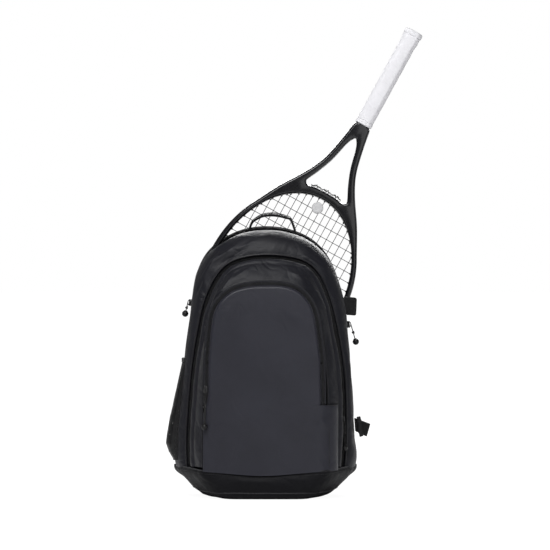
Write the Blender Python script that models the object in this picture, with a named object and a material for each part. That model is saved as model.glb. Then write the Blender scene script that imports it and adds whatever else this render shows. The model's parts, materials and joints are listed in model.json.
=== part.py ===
"""Racket backpack: a rounded 25-litre pack with a racket standing in its rear sleeve.

Frame: metres, +Z up, the pack faces -Y, and the origin is on the floor under the middle of the pack.
Every sewn panel, strap, zip, pull and racket piece is its own closed solid.
"""

import math

import bmesh
import bpy
import numpy as np
from mathutils import Matrix, Vector

# ---- Driving dimensions, metres -------------------------------------------------------------------
GAP = 0.0003
WALL = 0.0025

# Depth planes, from the back panel forward
BACK_REAR_Y = 0.0880
BACK_FRONT_Y = 0.0780
DIVIDER_REAR_Y = 0.0450
DIVIDER_FRONT_Y = 0.0410
HOOD_REAR_Y = 0.0452
HOOD_FRONT_Y = -0.0180
FLAP_REAR_Y = -0.0190
FLAP_FRONT_Y = -0.0660
POCKET_FRONT_Y = -0.0920
PANEL_FRONT_Y = -0.0990

# Heights
SEAM_Z = 0.0520
FLAP_LOW_Z = 0.0560
FOLD_Z = 0.1640
RACKET_REST_Z = 0.2030

# Outlines in the XZ plane, each a left half and a right half of (distance from the middle, height),
# from the base seam up; the right half ends at the crown
SIDE = (
    ((0.1555, SEAM_Z), (0.1600, 0.0780), (0.1580, 0.1100), (0.1540, 0.1500), (0.1490, 0.1900), (0.1440, 0.2250),
     (0.1400, 0.2500), (0.1350, 0.3000), (0.1300, 0.3550), (0.1270, 0.3820), (0.1215, 0.4040), (0.1120, 0.4230),
     (0.0960, 0.4430), (0.0500, 0.4700)),
    ((0.1545, SEAM_Z), (0.1595, 0.0780), (0.1570, 0.1100), (0.1545, 0.1450), (0.1525, 0.1850), (0.1500, 0.2200),
     (0.1470, 0.2500), (0.1430, 0.3050), (0.1370, 0.3500), (0.1190, 0.4100), (0.0900, 0.4500), (0.0480, 0.4710),
     (0.0, 0.4780)),
)
HOOD = (
    SIDE[0][:9] + ((0.1265, 0.3800), (0.1200, 0.4010), (0.1095, 0.4180), (0.0925, 0.4360), (0.0480, 0.4615)),
    SIDE[1][:9] + ((0.1180, 0.4060), (0.0880, 0.4430), (0.0460, 0.4630), (0.0, 0.4690)),
)
ARCH = (
    ((0.1400, SEAM_Z), (0.1420, 0.0900), (0.1400, 0.1400), (0.1360, 0.1900), (0.1320, 0.2300), (0.1235, 0.2860),
     (0.1100, 0.3460), (0.0870, 0.3930), (0.0570, 0.4180)),
    ((0.1400, SEAM_Z), (0.1430, 0.0900), (0.1435, 0.1400), (0.1425, 0.1900), (0.1390, 0.2300), (0.1300, 0.2860),
     (0.1160, 0.3460), (0.0960, 0.3930), (0.0640, 0.4190), (0.0, 0.4275)),
)
POCKET = (
    ((0.1100, FLAP_LOW_Z), (0.1095, 0.1600), (0.1080, 0.2400), (0.0990, 0.3250), (0.0750, 0.3610),
     (0.0450, 0.3760)),
    ((0.1100, FLAP_LOW_Z), (0.1095, 0.1600), (0.1040, 0.2400), (0.0915, 0.3250), (0.0710, 0.3610),
     (0.0430, 0.3770), (0.0, 0.3810)),
)
BACK_LOW = ((0.0950, 0.0040), (0.1280, 0.0240), (0.1490, 0.0480))

# Base tub
TUB_REAR_Y = 0.0770
TUB_PROFILE = (
    # height, half width, forward reach
    (0.0000, 0.0950, 0.0800), (0.0040, 0.1110, 0.0880), (0.0120, 0.1210, 0.0940),
    (0.0280, 0.1375, 0.1000), (0.0515, 0.1545, 0.1030),
)
# Plan outline of the tub: behind, the share of its half width and the depth; in front, the shares of its
# half width and of its forward reach
TUB_REAR = ((0.99, 0.0600), (0.93, TUB_REAR_Y))
TUB_PLAN = ((1.0, -0.15), (0.965, 0.10), (0.915, 0.30), (0.850, 0.55), (0.785, 0.78), (0.690, 0.93), (0.450, 1.0))

# Zips
RECESS = 0.0128
TAPE = 0.0045
ZIP_THICK = 0.0014
LEFT_STOP_Z = 0.3450
RIGHT_STOP_Z = 0.3060
ZIP_PARK_Z = 0.2060
MAIN_PARK_Z = 0.2150
LEFT_SLOPE = 0.1090
RIGHT_SLOPE = 0.0780
BALL_R = 0.0057
CORD_R = 0.0013

# Mesh side pocket, on the left
POCKET_TOP_Z = 0.2360
POCKET_BOTTOM_Z = 0.0640
MESH_FRONT_Y = -0.0020
MESH_REAR_Y = 0.0420
MESH_BULGE = 0.0150

# Shoulder straps
STRAP_TOP = (0.0480, 0.4520)
STRAP_FRONT_Y = 0.1022
STRAP_THICK = 0.0110
LOCK_Z = 0.1790
WEB_WIDTH = 0.0250
WEB_THICK = 0.0016

# Carry handle
HANDLE_KEYS = ((-0.0300, 0.4775), (-0.0190, 0.4890), (-0.0060, 0.4965), (0.0120, 0.4985), (0.0300, 0.4955),
               (0.0430, 0.4895), (0.0500, 0.4810), (0.0530, 0.4715))
HANDLE_REAR_Y = 0.0955
HANDLE_WIDTH = 0.0200

# Racket: local x across the head, local z from the head centre towards the butt
RACKET_Y = 0.0615
HEAD_CENTRE = (0.0195, RACKET_Y, 0.3780)
RACKET_TILT = math.radians(28.8)
HEAD_HALF_WIDTH = 0.1310
HEAD_HALF_LENGTH = 0.1750
HOOP_HALF_WIDTH = 0.1205
HOOP_HALF_LENGTH = 0.1660
BEAM = 0.0230
GRIP_START = 0.3183
GRIP_END = 0.4995
BUTT_END = 0.5094
MAIN_PITCH = 0.0115
CROSS_PITCH = 0.0145
MAINS_PER_SIDE = 8
CROSSES_PER_SIDE = 9
STRING_WIDTH = 0.0013
STRING_MARGIN = 0.0032
SHAFT_KEYS = ((0.1035, 0.1070), (0.0785, 0.1536), (0.0560, 0.1880), (0.0410, 0.2140), (0.0300, 0.2405),
              (0.0205, 0.2850), (0.0152, GRIP_START))
THROAT_KEYS = ((0.0, 0.1815), (0.0240, 0.1802), (0.0380, 0.1770), (0.0420, 0.1830), (0.0300, 0.2080),
               (0.0180, 0.2390), (0.0085, 0.2780), (0.0, 0.2930))
PALLET_HALF = 0.0074
BORE_WIDE = 0.0078
BORE_DEEP = 0.0119

COATED = ("coated_fabric", (0.024, 0.025, 0.030), 0.46, 0.0)
PANEL = ("panel_fabric", (0.042, 0.043, 0.052), 0.42, 0.0)
BASE = ("base_fabric", (0.014, 0.014, 0.018), 0.60, 0.0)
NYLON = ("nylon_weave", (0.012, 0.012, 0.014), 0.80, 0.0)
MESH = ("air_mesh", (0.010, 0.010, 0.011), 0.70, 0.0)
WEBBING = ("webbing", (0.008, 0.008, 0.009), 0.75, 0.0)
ZIP = ("zip_coil", (0.006, 0.006, 0.007), 0.45, 0.0)
METAL = ("dark_metal", (0.030, 0.030, 0.033), 0.30, 1.0)
CORD = ("pull_cord", (0.007, 0.007, 0.008), 0.55, 0.0)
PLASTIC = ("buckle_plastic", (0.010, 0.010, 0.011), 0.40, 0.0)
PAINT = ("racket_paint", (0.010, 0.010, 0.013), 0.18, 0.0)
GROMMET = ("grommet_plastic", (0.006, 0.006, 0.006), 0.45, 0.0)
STRING = ("string", (0.060, 0.060, 0.066), 0.35, 0.0)
GRIP = ("grip_tape", (0.820, 0.815, 0.850), 0.70, 0.0)
RUBBER = ("damper_rubber", (0.500, 0.500, 0.510), 0.60, 0.0)


# ---- Scene and material helpers -------------------------------------------------------------------
def clear_scene():
    """Removes every object, so the script can be run again."""
    for item in list(bpy.data.objects):
        bpy.data.objects.remove(item, do_unlink=True)


def material(spec):
    """Returns the Principled material of a (name, colour, roughness, metallic) entry."""
    name, colour, roughness, metallic = spec
    found = bpy.data.materials.get(name)
    if found:
        return found
    made = bpy.data.materials.new(name)
    made.use_nodes = True
    shader = made.node_tree.nodes["Principled BSDF"]
    shader.inputs["Base Color"].default_value = (*colour, 1.0)
    shader.inputs["Roughness"].default_value = roughness
    shader.inputs["Metallic"].default_value = metallic
    made.diffuse_color = (*colour, 1.0)
    return made


def add_mesh(name, mesh, spec, smooth_angle=35.0):
    """Links a finished mesh to the scene with its material and smooth shading."""
    mesh.materials.clear()
    mesh.materials.append(material(spec))
    mesh.shade_smooth()
    mesh.set_sharp_from_angle(angle=math.radians(smooth_angle))
    item = bpy.data.objects.new(name, mesh)
    bpy.context.scene.collection.objects.link(item)
    return item


def solid(name, verts, faces, spec, smooth_angle=35.0):
    """A closed solid from vertices and faces, with its faces turned outward."""
    mesh = bpy.data.meshes.new(name)
    mesh.from_pydata([tuple(v) for v in verts], [], faces)
    shape = bmesh.new()
    shape.from_mesh(mesh)
    bmesh.ops.recalc_face_normals(shape, faces=shape.faces)
    if shape.calc_volume(signed=True) < 0:
        bmesh.ops.reverse_faces(shape, faces=shape.faces)
    shape.to_mesh(mesh)
    shape.free()
    return add_mesh(name, mesh, spec, smooth_angle)


def pivot(item, point):
    """Puts an object's origin at a point without moving its surface."""
    item.data.transform(Matrix.Translation(-Vector(point)))
    item.location = point
    return item


# ---- Outline helpers ------------------------------------------------------------------------------
def smooth_path(keys, count, closed=False):
    """Catmull-Rom curve through the keys, resampled to equal steps of length."""
    keys = np.array(keys, float)
    if closed:
        padded = np.vstack([keys[-1:], keys, keys[:2]])
    else:
        padded = np.vstack([2 * keys[0] - keys[1], keys, 2 * keys[-1] - keys[-2]])
    dense = []
    for i in range(1, len(padded) - 2):
        a, b, c, d = padded[i - 1:i + 3]
        for t in np.linspace(0, 1, 16, endpoint=False):
            dense.append(0.5 * (2 * b + (c - a) * t + (2 * a - 5 * b + 4 * c - d) * t * t
                                + (3 * b - a - 3 * c + d) * t ** 3))
    dense.append(padded[-2])
    dense = np.array(dense)
    run = np.r_[0, np.cumsum(np.linalg.norm(np.diff(dense, axis=0), axis=1))]
    steps = np.linspace(0, run[-1], count, endpoint=not closed)
    return np.column_stack([np.interp(steps, run, dense[:, k]) for k in range(dense.shape[1])])


def arch(outline, count, above=0.0):
    """A full arch from the bottom left, over the top, to the bottom right."""
    left, right = outline
    keys = [(-x, z) for x, z in left if z > above] + [(x, z) for x, z in reversed(right) if z > above]
    return smooth_path(keys, count)


def reach(outline, side, height):
    """Distance of an outline from the middle at a height, on the left (-1) or the right (1)."""
    half = outline[1] if side > 0 else outline[0] + outline[1][-1:]
    path = smooth_path(half, 200)
    return float(np.interp(height, path[:, 1], path[:, 0]))


def inset(path, distance, closed=False):
    """Moves a clockwise outline inward by a distance, keeping its corners mitred."""
    if closed:
        before, after = np.roll(path, 1, axis=0), np.roll(path, -1, axis=0)
    else:
        before = np.vstack([2 * path[0] - path[1], path[:-1]])
        after = np.vstack([path[1:], 2 * path[-1] - path[-2]])
    first = path - before
    second = after - path
    first /= np.linalg.norm(first, axis=1)[:, None]
    second /= np.linalg.norm(second, axis=1)[:, None]
    mean = first + second
    mean /= np.linalg.norm(mean, axis=1)[:, None]
    normal = np.column_stack([mean[:, 1], -mean[:, 0]])
    miter = 1.0 / np.clip(np.sum(mean * first, axis=1), 0.35, 1.0)
    return path + normal * (distance * miter)[:, None]


def at_depth(path, y):
    """XZ outline points placed at a depth."""
    return np.column_stack([path[:, 0], np.full(len(path), y), path[:, 1]])


# ---- Solid builders -------------------------------------------------------------------------------
def two_skins(name, outer, inner, spec):
    """A closed solid between two grids of points."""
    outer = np.asarray(outer, float)
    inner = np.asarray(inner, float)
    rows, cols = outer.shape[:2]
    verts = np.vstack([outer.reshape(-1, 3), inner.reshape(-1, 3)])
    shift = rows * cols
    faces = []
    last = cols - 1
    for r in range(rows - 1):
        for c in range(last):
            n = (c + 1) % cols
            a, b, d, e = r * cols + c, r * cols + n, (r + 1) * cols + n, (r + 1) * cols + c
            faces.append((a, b, d, e))
            faces.append((shift + e, shift + d, shift + b, shift + a))
    for r in (0, rows - 1):
        for c in range(last):
            a, b = r * cols + c, r * cols + (c + 1) % cols
            faces.append((a, shift + a, shift + b, b) if r == 0 else (b, shift + b, shift + a, a))
    for c in (0, cols - 1):
        for r in range(rows - 1):
            a, b = r * cols + c, (r + 1) * cols + c
            faces.append((b, shift + b, shift + a, a) if c == 0 else (a, shift + a, shift + b, b))
    return solid(name, verts, faces, spec)


def sheet(name, grid, thickness, spec):
    """A sheet given by a grid of surface points, thickened along its normals."""
    grid = np.asarray(grid, float)
    down = np.gradient(grid, axis=0)
    across = np.gradient(grid, axis=1)
    normal = np.cross(down, across)
    normal /= np.linalg.norm(normal, axis=2)[:, :, None]
    return two_skins(name, grid, grid + normal * thickness, spec)


def loft(name, rings, spec, smooth_angle=35.0):
    """A closed solid through a list of rings, with a flat cap at each end."""
    rings = [np.asarray(r, float) for r in rings]
    count = len(rings[0])
    last = (len(rings) - 1) * count
    faces = [tuple(range(count)), tuple(reversed(range(last, last + count)))]
    for r in range(len(rings) - 1):
        for c in range(count):
            n = (c + 1) % count
            faces.append((r * count + n, r * count + c, (r + 1) * count + c, (r + 1) * count + n))
    return solid(name, np.vstack(rings), faces, spec, smooth_angle)


def tube(name, rings, spec):
    """A closed solid with a hole through it: rings up its outside, then back down its bore."""
    count = len(rings[0])
    faces = []
    for r in range(len(rings)):
        s = (r + 1) % len(rings)
        for c in range(count):
            n = (c + 1) % count
            faces.append((r * count + n, r * count + c, s * count + c, s * count + n))
    return solid(name, np.vstack([np.asarray(r, float) for r in rings]), faces, spec)


def band(name, outer, inner, y_front, y_rear, spec):
    """A flat strip between two XZ outlines, from one depth to another."""
    front = np.stack([at_depth(outer, y_front), at_depth(inner, y_front)])
    rear = np.stack([at_depth(outer, y_rear), at_depth(inner, y_rear)])
    return two_skins(name, front, rear, spec)


def slab(name, outline, y_front, y_rear, spec, edge=0.0):
    """A flat closed plate in the XZ plane with its edges rounded by a bevel width."""
    rings = [at_depth(outline, y_front), at_depth(outline, y_rear)]
    if edge:
        small = inset(outline, edge, closed=True)
        rings = [at_depth(small, y_front), at_depth(outline, y_front + edge),
                 at_depth(outline, y_rear - edge), at_depth(small, y_rear)]
    return loft(name, rings, spec)


def sweep(name, path, across, out, offsets, spec):
    """A strip or cord: a cross-section of offsets, along the across and out directions, carried on a path.

    Each direction is one vector, or one vector for each point of the path."""
    rings = []
    for i, point in enumerate(np.asarray(path, float)):
        a = np.asarray(across[i] if np.ndim(across) == 2 else across, float)
        b = np.asarray(out[i] if np.ndim(out) == 2 else out, float)
        rings.append([point + a * u + b * v for u, v in offsets])
    return loft(name, rings, spec)


def plane_normals(path):
    """Unit normals of an XZ path, in the XZ plane, as 3D vectors."""
    tangent = np.gradient(path, axis=0)
    tangent /= np.linalg.norm(tangent, axis=1)[:, None]
    return np.column_stack([-tangent[:, 1], np.zeros(len(path)), tangent[:, 0]])


def circle(radius, count):
    """Offsets of a round cross-section."""
    angles = [k * math.tau / count for k in range(count)]
    return [(radius * math.cos(angle), radius * math.sin(angle)) for angle in angles]


def rectangle(width, height):
    """Offsets of a flat cross-section, with small cut corners."""
    w, h = width / 2, height / 2
    c = min(w, h) * 0.4
    return [(-w + c, -h), (w - c, -h), (w, -h + c), (w, h - c), (w - c, h), (-w + c, h), (-w, h - c),
            (-w, -h + c)]


def lathe(name, profile, start, direction, spec, count=10):
    """A round solid: (distance, radius) pairs turned about a line."""
    line = Vector(direction).normalized()
    side = line.orthogonal().normalized()
    other = line.cross(side)
    rings = []
    for distance, radius in profile:
        centre = Vector(start) + line * distance
        rings.append([centre + side * u + other * v for u, v in circle(radius, count)])
    return loft(name, rings, spec)


def plate(name, outlines, y_front, y_rear, spec):
    """A flat plate in the XZ plane with holes: the first outline is the edge, the others the holes."""
    shape = bmesh.new()
    for outline in outlines:
        ring = [shape.verts.new((x, y_front, z)) for x, z in outline]
        for i, vert in enumerate(ring):
            shape.edges.new((vert, ring[(i + 1) % len(ring)]))
    bmesh.ops.triangle_fill(shape, use_beauty=True, edges=shape.edges[:], normal=(0, -1, 0))
    front = shape.faces[:]
    grown = bmesh.ops.extrude_face_region(shape, geom=front)
    moved = [g for g in grown["geom"] if isinstance(g, bmesh.types.BMVert)]
    bmesh.ops.translate(shape, verts=moved, vec=(0, y_rear - y_front, 0))
    bmesh.ops.recalc_face_normals(shape, faces=shape.faces)
    if shape.calc_volume(signed=True) < 0:
        bmesh.ops.reverse_faces(shape, faces=shape.faces)
    mesh = bpy.data.meshes.new(name)
    shape.to_mesh(mesh)
    shape.free()
    return add_mesh(name, mesh, spec)


def rounded_box(name, centre, size, edge, spec):
    """A box with bevelled edges, its origin at its centre."""
    shape = bmesh.new()
    bmesh.ops.create_cube(shape, size=1.0)
    bmesh.ops.scale(shape, vec=size, verts=shape.verts)
    bmesh.ops.bevel(shape, geom=shape.edges[:], offset=edge, segments=1, affect="EDGES")
    mesh = bpy.data.meshes.new(name)
    shape.to_mesh(mesh)
    shape.free()
    item = add_mesh(name, mesh, spec)
    item.location = centre
    return item


def ellipse(half_wide, half_long, count, start=0.0, end=math.tau, centre_z=0.0):
    """Points on an ellipse, from one angle to another; a full turn leaves out its last point."""
    full = abs(end - start - math.tau) < 1e-6
    angles = np.linspace(start, end, count, endpoint=not full)
    return np.column_stack([half_wide * np.sin(angles), centre_z - half_long * np.cos(angles)])


# ---- Pack body ------------------------------------------------------------------------------------
def back_panel():
    """The flat rear panel that the straps and the handle are sewn to."""
    left, right = (BACK_LOW + half[1:] for half in SIDE)
    keys = [(-x, z) for x, z in left] + [(x, z) for x, z in reversed(right)]
    outline = inset(smooth_path(keys, 64, closed=True), 0.0010, closed=True)
    slab("back_panel", outline, BACK_FRONT_Y, BACK_REAR_Y, NYLON, 0.0020)


def racket_divider():
    """The padded wall between the main compartment and the racket sleeve."""
    path = inset(arch(HOOD, 41), WALL + 0.0012)
    low = np.linspace(path[-1][0], path[0][0], 7)[1:-1]
    path[0][1] = path[-1][1] = FLAP_LOW_Z
    outline = np.vstack([path, np.column_stack([low, np.full(len(low), FLAP_LOW_Z)])])
    slab("racket_divider", outline, DIVIDER_FRONT_Y, DIVIDER_REAR_Y - GAP, NYLON)


def racket_rest():
    """The sewn floor of the racket sleeve, which holds the racket's tip up."""
    wide = reach(SIDE, -1, RACKET_REST_Z) - 0.012
    middle = (DIVIDER_REAR_Y + BACK_FRONT_Y) / 2
    deep = BACK_FRONT_Y - DIVIDER_REAR_Y - 2 * GAP
    rounded_box("racket_rest", (0, middle, RACKET_REST_Z), (2 * wide, deep, 0.0030), 0.0008, NYLON)


def back_pads():
    """Two padded columns and a lumbar pad on the rear of the back panel."""
    for side, label in ((-1, "left"), (1, "right")):
        keys = ((0.016, 0.190), (0.060, 0.180), (0.104, 0.190), (0.106, 0.290), (0.090, 0.385),
                (0.055, 0.405), (0.018, 0.385), (0.014, 0.290))
        outline = smooth_path([(side * x, z) for x, z in keys][::side], 28, closed=True)
        slab("back_pad_" + label, outline[::-1], BACK_REAR_Y + GAP, 0.1000, MESH, 0.0035)
    keys = ((-0.094, 0.070), (0.0, 0.062), (0.094, 0.070), (0.100, 0.115), (0.090, 0.160),
            (0.0, 0.168), (-0.090, 0.160), (-0.100, 0.115))
    outline = smooth_path(keys, 32, closed=True)
    slab("lumbar_pad", outline[::-1], BACK_REAR_Y + GAP, 0.1000, MESH, 0.0035)


def tub_ring(height, half, reach_forward, grow=0.0):
    """A plan outline of the base: square behind, tapering forward to a rounded front."""
    right = [(half * share, -reach_forward * ahead) for share, ahead in TUB_PLAN]
    rear = [(half * share, y) for share, y in TUB_REAR]
    keys = [(-x, y) for x, y in rear[::-1] + right] + [(x, y) for x, y in (rear[::-1] + right)[::-1]]
    outline = smooth_path(keys[::-1], 60, closed=True)
    outline[:, 1] = np.minimum(outline[:, 1], TUB_REAR_Y)
    outline = inset(outline, grow, closed=True)
    return np.column_stack([outline, np.full(len(outline), height)])


def base_panel():
    """The dark boat-shaped tub that the pack stands on."""
    outer = [tub_ring(*level) for level in TUB_PROFILE]
    floor = 0.0040
    inner = [tub_ring(max(h, floor), w, f, 0.0030) for h, w, f in reversed(TUB_PROFILE[1:])]
    rings = outer + [tub_ring(TUB_PROFILE[-1][0], *TUB_PROFILE[-1][1:], 0.0030)] + inner[1:]
    loft("base_panel", rings, BASE)


def hood_surface(path_rear, path_front, steps=8):
    """Grid of the hood: straight from the rear, then rounding over to the arch."""
    rows = []
    for turn in np.linspace(0, math.pi / 2, steps):
        y = HOOD_REAR_Y + (HOOD_FRONT_Y - HOOD_REAR_Y) * math.sin(turn)
        rows.append(at_depth(path_rear + (path_front - path_rear) * (1 - math.cos(turn)), y))
    return np.array(rows)


def main_shell():
    """The hood: one band of fabric from the rear zip over to the piped arch."""
    grid = hood_surface(arch(HOOD, 45), arch(ARCH, 45))
    sheet("main_shell", grid, -WALL, COATED)


def hood_piping():
    """The piped cord round the front edge of the hood."""
    path = inset(arch(ARCH, 57), 0.0012)
    line = at_depth(path, HOOD_FRONT_Y - 0.0020)
    sweep("hood_piping", line, plane_normals(path), (0, 1, 0), circle(0.0016, 6), COATED)


def rear_gussets():
    """The closed stretches of the racket sleeve's gusset, with their zip coils."""
    for side, label, stop in ((-1, "left", LEFT_STOP_Z), (1, "right", RIGHT_STOP_Z)):
        heights = np.linspace(SEAM_Z, stop - 0.010, 12)
        path = np.array([(side * (reach(SIDE, side, z) - 0.0010), z) for z in heights])
        rows = [at_depth(path, y) for y in (HOOD_REAR_Y + GAP, BACK_FRONT_Y - GAP)]
        sheet("rear_gusset_" + label, rows, -side * WALL * 0.6, NYLON)
        coil = path + (side * (ZIP_THICK / 2 + GAP), 0)
        section = rectangle(0.0060, ZIP_THICK)
        sweep("rear_zip_" + label, at_depth(coil, RACKET_Y), (0, 1, 0), (1, 0, 0), section, ZIP)


def mouth_tapes():
    """The opened zip's two tapes, standing along both edges of the racket mouth."""
    tapes = (("front", HOOD, 0.0010, HOOD_REAR_Y + GAP, HOOD_REAR_Y + 0.0042),
             ("back", SIDE, 0.0030, BACK_FRONT_Y - 0.0032, BACK_FRONT_Y - GAP))
    for label, outline, amount, near, far in tapes:
        ends = LEFT_STOP_Z + 0.006, RIGHT_STOP_Z + 0.054
        keep = [p for p in arch(outline, 61) if p[1] > ends[int(p[0] > 0)]]
        edge = inset(np.array(keep), amount)
        band("mouth_tape_" + label, edge, inset(edge, 0.0014), near, far, ZIP)


def main_zip():
    """The two halves of the main zip, one on the hood and one on the front flap."""
    path = arch(ARCH, 49)
    band("main_zip_outer", inset(path, 0.0030), inset(path, 0.0030 + TAPE), -0.0165, -0.0150, ZIP)
    edges = inset(path, 0.0030 + TAPE + GAP), inset(path, RECESS - GAP)
    keep = edges[0][:, 1] > MAIN_PARK_Z
    band("main_zip_inner", edges[0][keep], edges[1][keep], -0.0165, -0.0150, ZIP)


def flap_outline(amount):
    """The front flap's closed outline, pulled in from the arch by an amount."""
    path = inset(arch(ARCH, 41), amount)
    low = np.linspace(path[-1][0], path[0][0], 9)[1:-1]
    path[0][1] = path[-1][1] = FLAP_LOW_Z
    return np.vstack([path, np.column_stack([low, np.full(len(low), FLAP_LOW_Z)])])


def main_flap():
    """The main compartment's front, a shallow tray that opens forward on the base seam."""
    def ring(amount, lift, y):
        outline = flap_outline(amount)
        outline[:, 1] = np.maximum(outline[:, 1], FLAP_LOW_Z + lift)
        return at_depth(outline, y)
    outer = [ring(RECESS, 0, FLAP_REAR_Y), ring(RECESS + 0.001, 0, -0.050),
             ring(RECESS + 0.004, 0.001, -0.061), ring(RECESS + 0.011, 0.006, FLAP_FRONT_Y)]
    inner = [ring(RECESS + 0.012, 0.008, FLAP_FRONT_Y + WALL), ring(RECESS + 0.006, 0.003, -0.058),
             ring(RECESS + 0.001 + WALL, WALL, -0.050), ring(RECESS + WALL, WALL, FLAP_REAR_Y)]
    loft("main_flap", outer[::-1] + inner[::-1], COATED)


def front_pocket():
    """The front pocket: its gusset, zip halves, lower panel and the upper panel that folds down."""
    path = arch(POCKET, 41)
    rows = [at_depth(path, FLAP_FRONT_Y - GAP), at_depth(inset(path, 0.0004), POCKET_FRONT_Y)]
    sheet("pocket_gusset", rows, -0.0018, COATED)
    above = arch(POCKET, 33, 0.17)
    feet = [[end[0] + out, FOLD_Z + 0.002] for end, out in ((above[0], -0.0010), (above[-1], 0.0010))]
    above = np.vstack([feet[:1], above, feet[1:]])
    front, rear = POCKET_FRONT_Y - GAP - ZIP_THICK, POCKET_FRONT_Y - GAP
    band("pocket_zip_outer", inset(above, 0.0004), inset(above, TAPE), front, rear, ZIP)
    top = inset(above[1:-1], TAPE + GAP), inset(above[1:-1], 2 * TAPE)
    keep = top[0][:, 1] > ZIP_PARK_Z
    band("pocket_zip_inner", top[0][keep], top[1][keep], front, rear, ZIP)
    upper = inset(above, 2 * TAPE + GAP)
    upper[0][1] = upper[-1][1] = FOLD_Z + 0.0005
    slab("front_panel_upper", upper, PANEL_FRONT_Y, PANEL_FRONT_Y + 0.0060, PANEL, 0.0020)
    left, right = -reach(POCKET, -1, FOLD_Z), reach(POCKET, 1, FOLD_Z)
    foot, fold = FLAP_LOW_Z + 0.001, FOLD_Z - 0.0005
    low = np.array([(left, foot), (left, fold), (right, fold), (right, foot)])
    slab("front_panel_lower", low, PANEL_FRONT_Y, POCKET_FRONT_Y - GAP, PANEL, 0.0018)


def mesh_pocket():
    """The stretch mesh bottle pocket on the left side, with its elastic top binding."""
    rows = []
    for z in np.linspace(POCKET_BOTTOM_Z, POCKET_TOP_Z, 13):
        wall = reach(HOOD, -1, z) + 0.0006
        share = (z - POCKET_BOTTOM_Z) / (POCKET_TOP_Z - POCKET_BOTTOM_Z)
        swelling = min(1.0, 0.25 + share * 5) if share < 0.2 else 1.0 - 0.80 * max(0, share - 0.25) / 0.75
        row = []
        for turn in np.linspace(0, math.pi, 13):
            y = (MESH_FRONT_Y + MESH_REAR_Y) / 2 - (MESH_REAR_Y - MESH_FRONT_Y) / 2 * math.cos(turn)
            row.append((-wall - 0.0016 - MESH_BULGE * swelling * math.sin(turn) ** 0.7, y, z))
        rows.append(row)
    sheet("mesh_pocket", rows, -0.0012, MESH)
    rim = np.array(rows[-1]) + (0, 0, 0.0038)
    sweep("pocket_binding", rim, (0, 0, 1), (1, 0, 0), rectangle(0.0065, 0.0018), WEBBING)


# ---- Zip sliders and pulls ------------------------------------------------------------------------
def slider(name, centre, size, tilt=0.0):
    """A zip slider: a small wedge with cut corners, tilted to lie along its zip."""
    item = rounded_box(name, centre, size, 0.0012, METAL)
    item.rotation_euler = (0, tilt, 0)


def cord_pull(name, start, end):
    """A pull: a short cord with a knot and a moulded ball at its end."""
    start, end = Vector(start), Vector(end)
    length = (end - start).length
    profile = [(0, CORD_R), (length * 0.40, CORD_R), (length * 0.46, 0.0022), (length * 0.54, 0.0022),
               (length * 0.60, CORD_R), (length - BALL_R * 0.95, CORD_R)]
    for turn in (0.55, 1.05, 1.57, 2.10, 2.70):
        profile.append((length - BALL_R * math.cos(turn), BALL_R * math.sin(turn)))
    item = lathe(name, profile, start, end - start, CORD, 10)
    pivot(item, start)


def zip_pulls():
    """Sliders and pulls of the rear, main and pocket zips."""
    rear = ((-1, "left", LEFT_STOP_Z, LEFT_SLOPE, (0.006, 0.020)),
            (1, "right", RIGHT_STOP_Z, RIGHT_SLOPE, (0.010, 0.031)))
    for side, label, z, slope, hang in rear:
        x = side * (reach(SIDE, side, z) + 0.0040)
        slider("rear_slider_" + label, (x, RACKET_Y, z - 0.004), (0.0036, 0.0085, 0.0125), -side * slope)
        start = (x + side * 0.0032, RACKET_Y, z - 0.004)
        cord_pull("rear_pull_" + label, start, (start[0] + side * hang[0], RACKET_Y, start[2] - hang[1]))
    x = reach(ARCH, 1, 0.130) - 0.0030 - TAPE
    slider("main_slider", (x, -0.0195, 0.136), (0.0064, 0.0036, 0.0125))
    cord_pull("main_pull", (x, -0.0260, 0.136), (x + 0.0022, -0.0292, 0.087))
    x = -reach(POCKET, -1, 0.192) + TAPE
    y = POCKET_FRONT_Y - 2 * GAP - ZIP_THICK
    slider("pocket_slider", (x, y - 0.0018, 0.192), (0.0080, 0.0036, 0.0125))
    hang_y = PANEL_FRONT_Y - BALL_R - 0.0013
    cord_pull("pocket_pull", (x, y - 0.0056, 0.192), (x - 0.001, hang_y, 0.127))


# ---- Straps, handle and buckles -------------------------------------------------------------------
def grab_handle():
    """The webbing carry loop on the top edge of the back panel."""
    path = smooth_path(HANDLE_KEYS, 21)
    y = HANDLE_REAR_Y - HANDLE_WIDTH / 2
    section = rectangle(HANDLE_WIDTH, 0.0042)
    item = sweep("grab_handle", at_depth(path, y), (0, 1, 0), plane_normals(path), section, WEBBING)
    pivot(item, (0, HANDLE_REAR_Y, 0.4730))


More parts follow.
